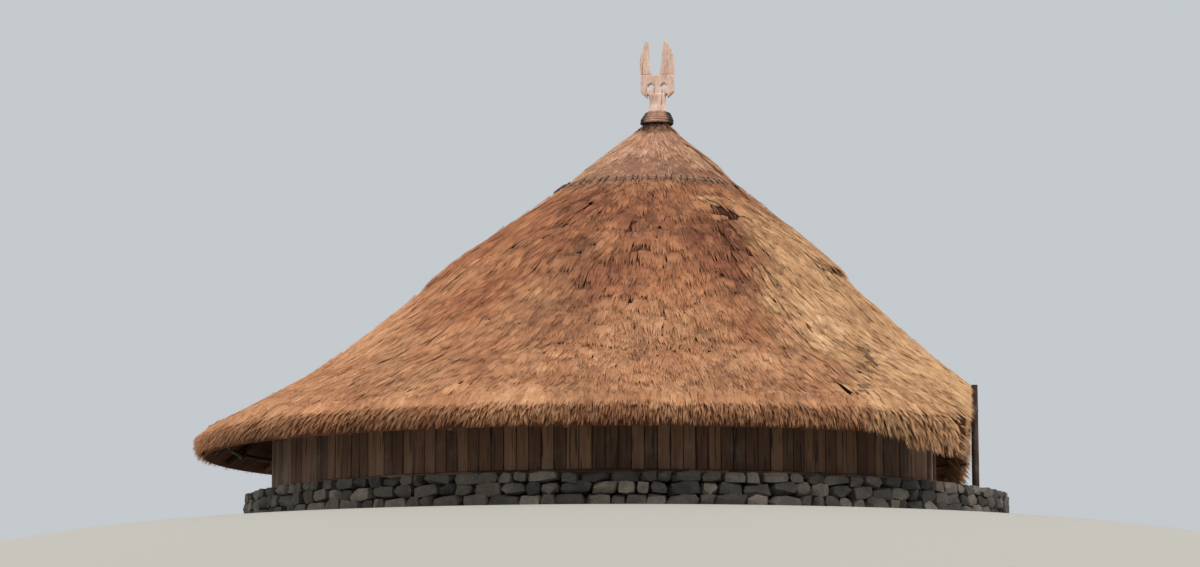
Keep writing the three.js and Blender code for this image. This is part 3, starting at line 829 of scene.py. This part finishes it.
def inside(spot, radius, angle):
    """1 at the middle of a spot on the roof, and 0 from its edge outwards."""
    turn = (angle - math.radians(spot[1]) + math.pi) % (2 * math.pi) - math.pi
    across = radius * turn / spot[2]
    along = (radius - spot[0]) * SLANT / spot[3]
    return np.clip(1 - np.hypot(across, along), 0, 1)


def noise_at(points, size, shift=0.0):
    return np.array([noise.noise(Vector(point) / size + Vector((shift, 0, 0))) for point in points])


def uneven(points, waves):
    """Noise of several sizes, each with its reach."""
    return sum(reach * noise_at(points, size, shift) for reach, size, shift in waves)


def swell(radius, angle, overhang=0.0):
    """Height of the straw over an even cone, and how deep in shade it is, from 0 to 1.

    The tiers end by the overhang further in.
    """
    radius, angle = np.broadcast_arrays(np.asarray(radius, float), np.asarray(angle, float))
    points = leant(radius, angle, thatch_height(radius))
    ends = radius + uneven(points, TIER_WANDER) + overhang
    rise = uneven(points, WAVES) + tier_drop(radius) - tier_drop(ends, tier_spread(angle))
    front = smooth((SEAM - from_porch(angle)) * radius / SEAM_RUN[0])
    front = front * smooth((radius - SEAM_TOP) / SEAM_RUN[1])
    rise = rise + SEAM_LAP * front + FLAP[4] * smooth(2 * inside(FLAP, radius, angle))
    rise = rise * smooth((EAVE_RADIUS - radius) / 0.5) - 0.01
    shade = np.zeros_like(rise)
    for hollow in (*HOLLOWS, *gullies):
        dent = smooth(2 * inside(hollow, radius, angle))
        rise = rise - hollow[4] * dent
        # Painted shade: the straw in a dent is painted darker, the more so the deeper the dent.
        shade = np.maximum(shade, smooth(2 * dent) * min(1, hollow[4] / 0.11))
    return rise, shade


def gold_and_sunlit_share(radius, angle):
    """1 where the straw is yellow, over the porch, less on the flap and low on the roof, and 0 elsewhere.
    Over the porch the yellow is partly the straw's own and partly painted sunlight on that side.
    """
    points = leant(radius, angle, thatch_height(radius))
    patches = noise_at(points, 0.9, 5)
    low = 0.25 * smooth((radius - 2.9 + 1.3 * noise_at(points, 1.6, 12)) / 1.7) + 0.22 * patches
    low = np.maximum(low, 0.4 * smooth((1.8 - radius) / 0.35))
    flap = 0.65 * smooth(2 * inside(FLAP, radius, angle))
    notch = 0.17 * smooth(1 - np.abs(radius - 2.3) / 1.2)
    edge = SEAM - notch + 0.14 * noise_at(points, 0.6, 3) - from_porch(angle)
    front = smooth(0.5 + edge * radius / GOLD_RUN) * smooth((radius - 1.4) / 1.2) * (0.92 + 0.3 * patches)
    return np.clip(np.maximum.reduce([front, low, flap]), 0, 1)


def straw_marks(radius, angle, shade):
    """Marks for tufts. Tone is alike in clumps a hand or two wide, and the red straw is paler low down."""
    points = leant(radius, angle, thatch_height(radius))
    gold = gold_and_sunlit_share(radius, angle)
    tone = np.clip(0.5 + 0.5 * noise_at(points, 0.16, 21) + luck.uniform(-0.3, 0.3, len(points)), 0, 1)
    start, run, paler = LOW_STRAW
    change = paler * smooth((radius - start) / run)
    for patch in BROAD_TONE_PATCHES:
        change = change + patch[4] * smooth(inside(patch, radius, angle))
    return {"gold": gold, "shade": shade, "tone": tone + change * (1 - 0.75 * gold)}


def straw_finish(name, red, gold, rough=0.95):
    """Straw: fine stems along the grain, patches of weathering, and zones of red, gold and painted shade."""
    finish = Finish(name, Roughness=rough, Specular_IOR_Level=0.12)
    grain, tone, place = finish.attribute("grain", "Vector"), finish.attribute("tone"), finish.place()
    stems = finish.speckle(grain, (7, 170, 170), 4, 0.7)
    weather = finish.speckle(place, 0.9, 6, 0.7)
    flecks = finish.speckle(place, 9, 3)
    value = stems * 0.5 + tone * 0.26 + weather * 0.75 + flecks * 0.25 - 0.37
    straw = finish.blend(finish.attribute("gold"), finish.ramp(value, *red), finish.ramp(value, *gold))
    stains = finish.rise(finish.speckle(place, 3.4, 5, 0.65), 0.5, 0.72)
    straw = finish.blend(stains * 0.45, straw, paint("5a4438"))
    # Painted shade: the shade mark blends the straw to near black in holes, hollows, gaps and lower layers.
    straw = finish.blend(finish.attribute("shade") * 0.97, straw, paint("1a0d06"))
    finish.colour(straw)
    finish.bump(stems, 0.5, 0.006)
    return finish.material


# The gold stops are paler and yellower than the red ones; over the porch they also paint the sunlight on that
# side.
thatch_straw = straw_finish(
    "thatch_straw",
    ((0.1, "42261a"), (0.35, "744733"), (0.55, "9e6748"), (0.75, "b97f58"), (0.95, "d49e74")),
    ((0.1, "5a4030"), (0.35, "9c7250"), (0.55, "ca9d71"), (0.75, "e0b88d"), (0.95, "eed3ae")),
)


def mat(name, upper, lower, least_shade):
    """A closed, leaning ring of pressed straw, spun from its upper and lower outline of (radius, height).
    It is painted dark, to at least least_shade above and 0.6 beneath, as the shade between tufts and under
    the roof.
    """
    outline = upper + lower[::-1]
    mesh = bpy.data.meshes.new(name)
    ends = [(i, (i + 1) % len(outline)) for i in range(len(outline))]
    mesh.from_pydata([(radius, 0, height) for radius, height in outline], ends, [])
    thing = bpy.data.objects.new(name, mesh)
    bpy.context.scene.collection.objects.link(thing)
    with editing(thing):
        bpy.ops.mesh.spin(steps=MAT_STEPS, angle=2 * math.pi, center=(0, 0, 0), axis=(0, 0, 1))
        bpy.ops.mesh.select_all(action="SELECT")
        bpy.ops.mesh.remove_doubles(threshold=0.0005)
        bpy.ops.mesh.normals_make_consistent(inside=False)
    points = points_of(mesh)
    radius, angle = np.hypot(points[:, 0], points[:, 1]), np.arctan2(points[:, 1], points[:, 0])
    rise, shade = swell(radius, angle, TIER_OVERHANG)
    foot = np.interp(radius, *np.transpose(lower))
    above = points[:, 2] > (np.interp(radius, *np.transpose(upper)) + foot) / 2
    height = np.where(above, np.maximum(points[:, 2] + rise, foot + MAT_LEAST), points[:, 2])
    move_points(mesh, leant(radius, angle, height))
    grain = np.stack([radius * SLANT, angle * radius, points[:, 2]], -1)
    # Painted shade: the mat is painted dark, so that the gaps between tufts and the roof's underside read as
    # shade.
    shade = np.where(above, np.clip(2 * shade, least_shade, 1), 0.6)
    give_marks(mesh, grain=grain, tone=np.full(len(points), 0.35), gold=np.zeros(len(points)), shade=shade)
    return thing


upper = [(r, thatch_height(r) - MAT_DROP) for r in np.linspace(0.1, EAVE_RADIUS - 0.16, 90)]
lower = [(r, mat_foot(r)) for r in np.linspace(0.1, EAVE_RADIUS - 0.24, 30)]
thatch_mat = mat("thatch_mat", upper, lower, 0.88)
with editing(thatch_mat):
    bpy.ops.mesh.bisect(plane_co=(BROW_X - 0.03, 0, 0), plane_no=(1, 0, 0), use_fill=True, clear_outer=True)
fit(thatch_mat, thatch_straw, "thatch", "thatch_roof")


def blade_model(y, width):
    """A blade of straw along X with a ridge on top, which tapers to a point at its lower end."""
    sizes = {"radius1": width, "radius2": 0, "depth": 1}
    blade = added(bpy.ops.mesh.primitive_cone_add, vertices=3, rotation=ON_SIDE, **sizes)
    for point in blade.data.vertices:
        point.co = (point.co.x, y - point.co.z, point.co.y)
    return blade


def tuft_model(seed, blades=6):
    """A flat tuft about a metre long and wide and one high, whose blades splay and end unevenly."""
    rng = np.random.default_rng(seed)
    parts = []
    for i in range(blades):
        blade = blade_model((i + 0.5) / blades - 0.5, rng.uniform(1.3, 2.1) / blades)
        splay, shorter, lift = rng.uniform(-0.14, 0.14), rng.uniform(0, 0.45), rng.uniform(-0.3, 0.4)
        for point in blade.data.vertices:
            along = point.co.x + 0.5
            point.co.z = point.co.z * 1.6 + lift * along
            point.co.y += splay * along
            point.co.x = along * (1 - shorter) - 0.5
        parts.append(blade)
    return joined(parts)


def draw(count, *ranges):
    """Random numbers between the ends of each range, for a count of copies."""
    return [luck.uniform(*ends, count) for ends in ranges]


def laid(radius, angle, over, size, yaw, pitch, height, slope):
    """Matrices that lay models down a slope, their lower ends at a radius, angle and height and over it."""
    count = len(radius)
    down = np.stack([np.cos(angle) - LEAN * slope, np.sin(angle), -slope * np.ones(count)], -1)
    down /= np.linalg.norm(down, axis=1)[:, None]
    across = np.stack([-np.sin(angle), np.cos(angle), np.zeros(count)], -1)
    normal = np.cross(down, across)
    normal /= np.linalg.norm(normal, axis=1)[:, None]
    across = np.cross(normal, down)
    turned = down * np.cos(yaw)[:, None] + across * np.sin(yaw)[:, None]
    across = np.cross(normal, turned)
    along = turned * np.cos(pitch)[:, None] + normal * np.sin(pitch)[:, None]
    normal = np.cross(along, across)
    places = np.zeros((count, 4, 4))
    places[:, :3, 0] = along * size[0][:, None]
    places[:, :3, 1] = across * size[1][:, None]
    places[:, :3, 2] = normal * size[2][:, None]
    places[:, :3, 3] = leant(radius, angle, height) + normal * over[:, None] - along * size[0][:, None] / 2
    places[:, 3, 3] = 1
    return places


def slope_behind(radius, angle, height):
    """Slope of the straw over the length that a tuft covers, from the height at its lower end."""
    back = radius - SLOPE_REACH
    rise, _ = swell(back, angle)
    return np.clip((thatch_height(back) + rise - height) / SLOPE_REACH, SKIRT_SLOPE - 0.1, SLOPE + 0.25)


def scattered(inner, outer, spacing, width):
    """Radii and angles spread evenly over a band of the roof, each off its place by chance."""
    radii, angles = [], []
    for radius in np.arange(outer, inner, -spacing):
        count = int(2 * math.pi * radius / width)
        turn = (np.arange(count) + luck.random(count) + luck.random()) * (2 * math.pi / count)
        angles.append(turn)
        radii.append(np.full(count, radius))
    radii, angles = np.concatenate(radii), np.concatenate(angles)
    radii = np.minimum(EAVE_RADIUS - 0.03, radii + spacing * luck.uniform(-0.6, 0.6, len(radii)))
    return radii, angles


def clear_length(radius, angle):
    """How far straw can lie up the slope from its lower end before it would cross the open hole."""
    clear = np.full(len(radius), 1.0)
    for hollow in HOLLOWS:
        if hollow[4] == HOLE_DEPTH:
            for way in np.arange(0.5, 0, -0.03):
                crossed = inside(hollow, radius - way / SLANT, angle) > 0.08
                clear = np.where(crossed, way, clear)
    return clear


def behind_brow(radius, angle, past):
    """True for places that lie behind the cut edge over the entrance, or up to a small way past it."""
    return leant(radius, angle, thatch_height(radius))[:, 0] < BROW_X + past


def only(kept, *values):
    """The part of each array that is kept."""
    return [value[kept] for value in values]


for tier, (inner, outer) in TIERS.items():
    radius, angle = scattered(inner, outer, *TUFT_SPACING)
    rise, shade = swell(radius, angle)
    clear = clear_length(radius, angle)
    kept = behind_brow(radius, angle, -0.02) & (shade < 0.75) & (clear > 0.12)
    radius, angle, rise, shade, clear = only(kept, radius, angle, rise, shade, clear)
    count = len(radius)
    where = leant(radius, angle, thatch_height(radius))
    yaw = 0.22 * noise_at(where, 0.4, 31) + luck.normal(0, 0.06, count)
    pitch = luck.normal(0.07, 0.012, count)
    size = draw(count, *TUFTS)
    size[0] = np.minimum(size[0], clear)
    over = luck.uniform(-0.012, 0.008, count)
    height = thatch_height(radius) + rise
    shapes = [tuft_model(seed) for seed in range(TUFT_SHAPES)]
    which = luck.integers(0, TUFT_SHAPES, count)
    places = laid(radius, angle, over, size, yaw, pitch, height, slope_behind(radius, angle, height))
    tufts = copies(f"thatch_{tier}", shapes, which, places, straw_marks(radius, angle, shade))
    fit(tufts, thatch_straw, "thatch", "thatch_roof", crease=100)

# Straw ends. At the eave, along the cut edge over the entrance and where a tier stops, the thatch shows as
# layer on layer of straw ends, which hang lowest beside the entrance. Loose stems lie all over the roof.
EAVE_LAYERS = 11
EAVE_SPACING = 0.042
EAVE_FALL = 0.31  # from the highest straw ends to the lowest
EAVE_UNDERCUT = 0.09  # of the lowest straw ends behind the highest
EAVE_DROOP = 1.6  # how much steeper they lie
EAVE_TUFTS = ((0.28, 0.4), (0.04, 0.06), (0.012, 0.02))  # least and most length, width and depth
CORNER_FALL = 0.27  # more fall, beside the entrance
CORNER_EDGE = math.radians(55)  # from the middle of the porch
BROW_LAYERS = 10
BROW_SPACING = 0.035
BROW_REACH = 3.9  # half width of the cut edge
BROW_DEPTH = 0.33  # most depth of straw that shows along it
BROW_OVERHANG = 0.09  # of the highest straw ends past the cut
BROW_TUFTS = ((0.3, 0.45), (0.035, 0.055), (0.012, 0.02))
BROW_TRIES = 12
END_LAYERS = 8
END_SPACING = 0.06
END_TUFTS = ((0.25, 0.4), *TUFTS[1:])
END_SPREAD = 8  # of a tier's step, from which it is too worn to show ends
END_SHAPES = 5
LOOSE_STEMS = 9000
STEMS = ((0.12, 0.38), (0.004, 0.007), (0.004, 0.006))


def thatch_piece(name, shapes, radius, angle, places, shade):
    """A piece of straw tufts or stems that belongs to the roof."""
    marks = straw_marks(radius, angle, shade)
    which = luck.integers(0, len(shapes), len(radius))
    fit(copies(name, shapes, which, places, marks), thatch_straw, "thatch", "thatch_roof", crease=100)


ends = []
for layer in range(EAVE_LAYERS):
    count = int(2 * math.pi * EAVE_RADIUS / EAVE_SPACING)
    turn = (np.arange(count) + luck.random(count)) * (2 * math.pi / count)
    ends.append(np.stack([turn, np.full(count, layer / (EAVE_LAYERS - 1))]))
angle, depth = np.concatenate(ends, 1)
depth = np.clip(depth + luck.uniform(-0.08, 0.08, len(depth)), 0, 1)
radius = EAVE_RADIUS - 0.015 - EAVE_UNDERCUT * depth**2 - luck.uniform(0, 0.035, len(depth))
radius, angle, depth = only(behind_brow(radius, angle, -0.03), radius, angle, depth)
count = len(radius)
size = draw(count, *EAVE_TUFTS)
fall = EAVE_FALL + CORNER_FALL * smooth((CORNER_EDGE - from_porch(angle)) / 0.25)
height = thatch_height(radius) - 0.02 - fall * depth
yaw, pitch = luck.normal(0, 0.08, count), luck.normal(0, 0.04, count)
places = laid(radius, angle, np.zeros(count), size, yaw, pitch, height, SKIRT_SLOPE + EAVE_DROOP * depth)
shapes = [tuft_model(20 + seed, 3) for seed in range(END_SHAPES)]
# Painted shade: the lower layers of straw ends are painted darker, by the square of their depth.
thatch_piece("eave_straw", shapes, radius, angle, places, 0.2 * depth**2)

ends = []
for layer in range(BROW_LAYERS):
    across = np.arange(-BROW_REACH, BROW_REACH, BROW_SPACING)
    across = across + luck.uniform(-0.5, 0.5, len(across)) * BROW_SPACING
    ends.append(np.stack([across, np.full(len(across), layer / (BROW_LAYERS - 1))]))
across, depth = np.concatenate(ends, 1)
# Each end's radius follows from its place across the roof and the plane of the cut. As the roof leans, that
# plane's distance from the axis depends on the radius, so it is worked out over and over until it settles.
radius = np.hypot(BROW_X + 0.4, across)
past = BROW_OVERHANG * (1 - depth) ** 0.7 + luck.uniform(-0.015, 0.03, len(depth))
for _ in range(BROW_TRIES):
    forward = BROW_X + past - LEAN * (thatch_height(radius) - 0.2 * depth - TIP)
    radius, angle = np.hypot(forward, across), np.arctan2(across, forward)
radius, angle, depth = only(radius < EAVE_RADIUS - 0.03, radius, angle, depth)
count = len(radius)
size = draw(count, *BROW_TUFTS)
thick = np.minimum(thatch_height(radius) - mat_foot(radius), BROW_DEPTH) - 0.02
hang = CORNER_FALL * smooth((radius - 5.2) / 0.8)
height = thatch_height(radius) - 0.01 - (thick + hang) * depth + luck.uniform(-0.012, 0.012, count)
yaw, pitch = luck.normal(0, 0.08, count), luck.normal(0, 0.05, count)
slope = SKIRT_SLOPE + (SLOPE - SKIRT_SLOPE) * depth
places = laid(radius, angle, np.zeros(count), size, yaw, pitch, height, slope)
shapes = [tuft_model(40 + seed, 3) for seed in range(END_SHAPES)]
# Painted shade: the deeper layers of straw ends along the cut edge are painted darker.
thatch_piece("brow_straw", shapes, radius, angle, places, 0.05 + 0.25 * depth)

for number, (end, run, _) in enumerate(TIER_ENDS):
    count = int(END_LAYERS * 2 * math.pi * end / END_SPACING)
    angle = luck.uniform(-math.pi, math.pi, count)
    radius = end - uneven(leant(end, angle, thatch_height(end)), TIER_WANDER)
    radius = radius + run * luck.uniform(-0.4, 1.2, count)
    rise, shade = swell(radius, angle)
    kept = behind_brow(radius, angle, -0.05) & (shade < 0.6) & (tier_spread(angle) < END_SPREAD)
    radius, angle, rise, shade = only(kept, radius, angle, rise, shade)
    count = len(radius)
    size = draw(count, *END_TUFTS)
    yaw, pitch = luck.normal(0, 0.12, count), luck.normal(0.03, 0.03, count)
    shapes = [tuft_model(70 + seed) for seed in range(END_SHAPES)]
    places = laid(radius, angle, np.zeros(count), size, yaw, pitch, thatch_height(radius) + rise, SLOPE)
    # Painted shade: the straw ends at a tier's step are painted a little darker, by at least 0.08.
    thatch_piece(f"tier_straw_{number + 1}", shapes, radius, angle, places, np.maximum(shade, 0.08))

radius = np.sqrt(luck.uniform(1.4**2, 6.0**2, LOOSE_STEMS))
angle = luck.uniform(-math.pi, math.pi, LOOSE_STEMS)
rise, shade = swell(radius, angle)
kept = behind_brow(radius, angle, -0.05) & (shade < 0.2)
radius, angle, rise, shade = only(kept, radius, angle, rise, shade)
count = len(radius)
size = draw(count, *STEMS)
yaw = luck.normal(0, 0.22, count)
height = thatch_height(radius) + rise
slope, pitch = slope_behind(radius, angle, height), luck.normal(0.02, 0.03, count)
places = laid(radius, angle, luck.uniform(0.005, 0.02, count), size, yaw, pitch, height, slope)
thatch_piece("loose_stems", [blade_model(0, 1)], radius, angle, places, shade)

# Top layer. A cape of paler, newer straw is tied over the tip. Its lower edge hangs as a short fringe, under
# a thin hazel hoop that is sewn down with a row of dark stitches.
CAPE_RADIUS = 1.44
CAPE_THINNING = (0.5, 0.055)  # length and drop of its lower edge, which tapers off
CAPE_SPACING = (0.05, 0.04)
CAPE_TUFTS = ((0.3, 0.42), (0.035, 0.06), (0.012, 0.022))
CAPE_SHAPES = 5
FRINGE = 420  # tufts of it
GATHER = 0.05  # rise of the straw where it is gathered under the binding
HOOP_RADIUS = 1.34
HOOP_LENGTHS = 48
STITCHES = 72

cape_straw = straw_finish(
    "cape_straw",
    ((0.1, "5f412f"), (0.35, "95664f"), (0.55, "ba8b70"), (0.75, "d0a68a"), (0.95, "e4c4aa")),
    ((0.1, "5f412f"), (0.35, "956d4e"), (0.55, "be936d"), (0.75, "d5ad85"), (0.95, "e8caa3")),
)


def cape_height(radius):
    """Height of the cape's face."""
    return TIP - SLOPE * radius - CAPE_THINNING[1] * smooth(1 - (CAPE_RADIUS - radius) / CAPE_THINNING[0])


radii = np.linspace(0.1, CAPE_RADIUS - 0.12, 14)
upper = [(r, cape_height(r) - 0.035) for r in radii]
lower = [(r, THATCH_TIP - SLOPE * r - 0.07) for r in radii]
fit(mat("cape_mat", upper, lower, 0.4), cape_straw, "thatch_top", "thatch_cap")

radius, angle = scattered(0.22, CAPE_RADIUS + 0.02, *CAPE_SPACING)
radius = np.concatenate([radius, luck.uniform(CAPE_RADIUS - 0.04, CAPE_RADIUS + 0.08, FRINGE)])
angle = np.concatenate([angle, luck.uniform(-math.pi, math.pi, FRINGE)])
count = len(radius)
rise, shade = swell(radius, angle)
where = leant(radius, angle, cape_height(radius))
size = draw(count, *CAPE_TUFTS)
size[1] *= np.clip(radius / 0.7, 0.4, 1)
pitch = luck.normal(0.08, 0.015, count)
edge = smooth((radius - CAPE_RADIUS + 0.1) / 0.1)
over = rise + luck.uniform(-0.014, 0.006, count) + GATHER * smooth((0.5 - radius) / 0.3)
yaw = 0.12 * noise_at(where, 0.4, 31) + luck.normal(0, 0.05, count)
places = laid(radius, angle, over, size, yaw, pitch, cape_height(radius), SLOPE)
# Painted shade: the cape's tufts are painted a little darker towards its lower edge.
marks = {"gold": np.clip(0.3 + noise_at(where, 0.5, 8), 0, 1), "shade": np.maximum(0.15 * edge, shade)}
shapes = [tuft_model(60 + seed, 4) for seed in range(CAPE_SHAPES)]
tufts = copies("cape_tufts", shapes, luck.integers(0, CAPE_SHAPES, count), places, marks)
fit(tufts, cape_straw, "thatch_top", "thatch_cap", crease=100)

places = []
for i in range(HOOP_LENGTHS):
    turns = [(i + step) * 2 * math.pi / HOOP_LENGTHS for step in (-0.05, 1.05)]
    start, end = (leant(HOOP_RADIUS, turn, cape_height(HOOP_RADIUS)) for turn in turns)
    places.append(between(start, end, 0.008))
shapes = [pole_model(3, 0.1, 0.05, seed, 6) for seed in (1, 2)]
hoop = copies("cape_hoop", shapes, [0, 1] * (HOOP_LENGTHS // 2), places)
fit(hoop, timber_finish("hoop_wood", "6b4a38", "93705a", "b3937b"), "thatch_top", "thatch_cap", crease=60)

binding_dark = Finish("dark_binding", Roughness=0.92)
strands = binding_dark.speckle(binding_dark.attribute("grain", "Vector"), (20, 90, 90), 3)
worn = binding_dark.speckle(binding_dark.place(), 9, 4)
fibre = strands * 0.5 + worn * 0.5 + binding_dark.attribute("tone") * 0.55 - 0.3
tones = ((0.15, "1d1814"), (0.4, "3e3028"), (0.65, "8e6a55"), (0.85, "bd937b"))
binding_dark.colour(binding_dark.ramp(fibre, *tones))
binding_dark.bump(strands, 0.6, 0.006)

places = []
for i in range(STITCHES):
    at = (i + luck.uniform(-0.25, 0.25)) * 2 * math.pi / STITCHES
    reach = luck.uniform(0.03, 0.06)
    high = leant(HOOP_RADIUS - reach, at, cape_height(HOOP_RADIUS - reach) - 0.006)
    low = leant(HOOP_RADIUS + reach, at + luck.uniform(-0.02, 0.02), cape_height(HOOP_RADIUS + reach))
    places.append(between(high, low, luck.uniform(0.009, 0.014), 0.013))
marks = {"tone": luck.uniform(0, 0.6, STITCHES)}
stitches = copies("cape_stitches", [pole_model(4, 0.0, 0.1, 3, 6)], [0] * STITCHES, places, marks)
fit(stitches, binding_dark.material, "thatch_top", "thatch_cap", crease=60)

# Binding. The tip of the cape is gripped by turns of thick black fibre rope, wound on a straw core up to the
# foot of the finial, and its loose ends hang over the straw.
# Radius and height of each turn, and lower and upper radius, length and middle height of the core.
ROPE_TURNS = ((0.219, 5.848), (0.217, 5.882), (0.202, 5.915), (0.184, 5.945), (0.167, 5.973))
ROPE_CORE = (0.222, 0.148, 0.14, 5.915)
ROPE_RADIUS = 0.021
ROPE_TWIST = 26  # ridges along one turn
LOOSE_ENDS = 150

parts = []
for radius, height in ROPE_TURNS:
    middle = Vector((LEAN * (height - TIP), 0, height))
    turn = rope_turn(radius, ROPE_RADIUS, (84, 8), location=middle)
    for point in turn.data.vertices:
        off = point.co - middle
        around = math.atan2(off.y, off.x)
        core = middle + outward(around) * radius
        about = math.atan2(off.z, math.hypot(off.x, off.y) - radius)
        point.co = core + (point.co - core) * (1 + 0.16 * math.cos(3 * about + ROPE_TWIST * around))
        point.co.z += 0.006 * noise.noise(Vector((around * 3, height * 40, 0)))
    parts.append(turn)
lower, upper, length, height = ROPE_CORE
place = (LEAN * (height - TIP), 0, height)
sizes = {"radius1": lower, "radius2": upper, "depth": length}
core = added(bpy.ops.mesh.primitive_cone_add, vertices=48, location=place, **sizes)
collar = copies("collar_rope", [joined([*parts, core])], [0], [Matrix.Identity(4)])
points = points_of(collar.data)
around = np.arctan2(points[:, 1], points[:, 0])
grain = np.stack([0.23 * around, points[:, 2], np.hypot(points[:, 0], points[:, 1])], -1)
# Painted light: the tone paints the rope paler where it faces front and back, and darker at its sides, as lit
# in the middle and shaded at the ends.
give_marks(collar.data, grain=grain, tone=smooth(2.2 * np.abs(np.sin(around)) - 1))
fit(collar, binding_dark.material, "binding", "apex_collar", crease=60)

angle = luck.uniform(-math.pi, math.pi, LOOSE_ENDS)
radius = luck.uniform(0.25, 0.36, LOOSE_ENDS)
size = (luck.uniform(0.1, 0.2, LOOSE_ENDS), np.full(LOOSE_ENDS, 0.006), np.full(LOOSE_ENDS, 0.005))
yaw, pitch = luck.normal(0, 0.2, LOOSE_ENDS), luck.normal(0.05, 0.05, LOOSE_ENDS)
over = luck.uniform(0.005, 0.015, LOOSE_ENDS)
places = laid(radius, angle, over, size, yaw, pitch, TIP - SLOPE * radius, SLOPE)
ends = copies("collar_ends", [blade_model(0, 1)], [0] * LOOSE_ENDS, places, {"tone": np.zeros(LOOSE_ENDS)})
fit(ends, binding_dark.material, "binding", "apex_collar", crease=20)

# Finial. A waisted neck and a notched head are carved from one timber, with a diamond cut through each cheek,
# and two curved horns stand on the head. All of it has bleached to a pale, pinkish grey.
CARVING_CELL = 0.01
SHADOW_WOOD = "3b2a22"

bleached = Finish("bleached_wood", Roughness=0.8)
place = bleached.place()
fibres = bleached.speckle(place, (70, 70, 5), 6, 0.65)
stains = bleached.speckle(place, (9, 9, 4), 5, 0.6)
cracks = bleached.rise(bleached.speckle(place, (34, 34, 3), 2, 0.4), 0.62, 0.68)
tones = ((0.2, "8a6a59"), (0.45, "caa895"), (0.7, "e8ccba"), (0.9, "f2e0d2"))
wood = bleached.ramp(fibres * 0.5 + stains * 0.7 - 0.1, *tones)
wood = bleached.blend(cracks * 0.7, wood, paint(SHADOW_WOOD))
bleached.colour(wood)
bleached.bump(fibres * 0.5 - cracks, 0.5, 0.004)


def carved(node):
    """The shape of a node with its edges worn round, cut a little unevenly as with a knife."""
    thing = merged_copy(node, f"{node}_carving")
    for modifier, settings in (
        ("REMESH", {"mode": "VOXEL", "voxel_size": CARVING_CELL}),
        ("SMOOTH", {"factor": 0.6, "iterations": 5}),
    ):
        made = thing.modifiers.new(modifier.lower(), modifier)
        for title, value in settings.items():
            setattr(made, title, value)
        bpy.ops.object.modifier_apply(modifier=made.name)
    for point in thing.data.vertices:
        facet = noise.cell_vector(point.co / 0.045)
        point.co += 0.0025 * noise.noise_vector(point.co / 0.05) + 0.0008 * (facet - Vector((0.5, 0.5, 0.5)))
        point.co.z = min(point.co.z, cad_high.z)
    return thing


for node in ("finial", "horn_left", "horn_right"):
    fit(carved(node), bleached.material, "carved_wood", node, crease=60)

# Ground and light. The house stands on a pale studio floor that falls away all round it, as the ground does
# in front of the real one, under a wide soft key light from the right and weaker ones from the other sides.
GROUND_FLAT = 5.7  # radius about the stone ring
GROUND_FALL = (20.0, 2.6)  # radius and depth of the foot of the slope
GROUND_EDGE = 500.0
GROUND_STEPS = 24  # down the slope
SUNS = (  # azimuth from -Y towards the porch, elevation, strength and width of each light
    (47, 44, 2.15, 22),
    (-70, 35, 1.25, 60),
    (150, 40, 0.7, 60),
    (-140, 30, 0.5, 60),
)

flat = {"radius": GROUND_FLAT, "location": (RING_X, 0, 0)}
ground = added(bpy.ops.mesh.primitive_circle_add, vertices=128, fill_type="NGON", **flat)
ground.name = "ground"
last_radius, last_depth = GROUND_FLAT, 0.0
with editing(ground):
    bpy.ops.mesh.select_mode(type="EDGE")
    bpy.ops.mesh.select_all(action="SELECT")
    bpy.ops.mesh.region_to_loop()
    for i in range(1, GROUND_STEPS + 2):
        share = i / GROUND_STEPS
        radius = GROUND_FLAT + (GROUND_FALL[0] - GROUND_FLAT) * share if share <= 1 else GROUND_EDGE
        depth = float(GROUND_FALL[1] * smooth(share))
        grow = radius / last_radius
        bpy.ops.mesh.extrude_region_move(TRANSFORM_OT_translate={"value": (0, 0, last_depth - depth)})
        bpy.ops.transform.resize(value=(grow, grow, 1), center_override=(RING_X, 0, 0))
        last_radius, last_depth = radius, depth
    bpy.ops.mesh.select_all(action="SELECT")
    bpy.ops.mesh.normals_make_consistent(inside=False)
bpy.ops.object.shade_smooth()
pale = Finish("studio_floor", Roughness=0.9)
pale.colour(paint("a19c93"))
ground.data.materials.append(pale.material)
ground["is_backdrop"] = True

for azimuth, elevation, strength, width in SUNS:
    alone()
    a, e = math.radians(azimuth), math.radians(elevation)
    toward = Vector((math.sin(a) * math.cos(e), -math.cos(a) * math.cos(e), math.sin(e)))
    bpy.ops.object.light_add(type="SUN", rotation=toward.to_track_quat("Z", "Y").to_euler())
    bpy.context.object.data.energy = strength
    bpy.context.object.data.angle = math.radians(width)

sky = bpy.data.worlds.new("studio")
sky.use_nodes = True
backdrop = sky.node_tree.nodes["Background"]
backdrop.inputs["Color"].default_value = paint("dfe5ea")
backdrop.inputs["Strength"].default_value = 0.75
bpy.context.scene.world = sky
bpy.context.scene.view_settings.view_transform = "Standard"

seen_low, seen_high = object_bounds()
sizes = {"cad": [list(cad_low), list(cad_high)], "visual": [list(seen_low), list(seen_high)]}
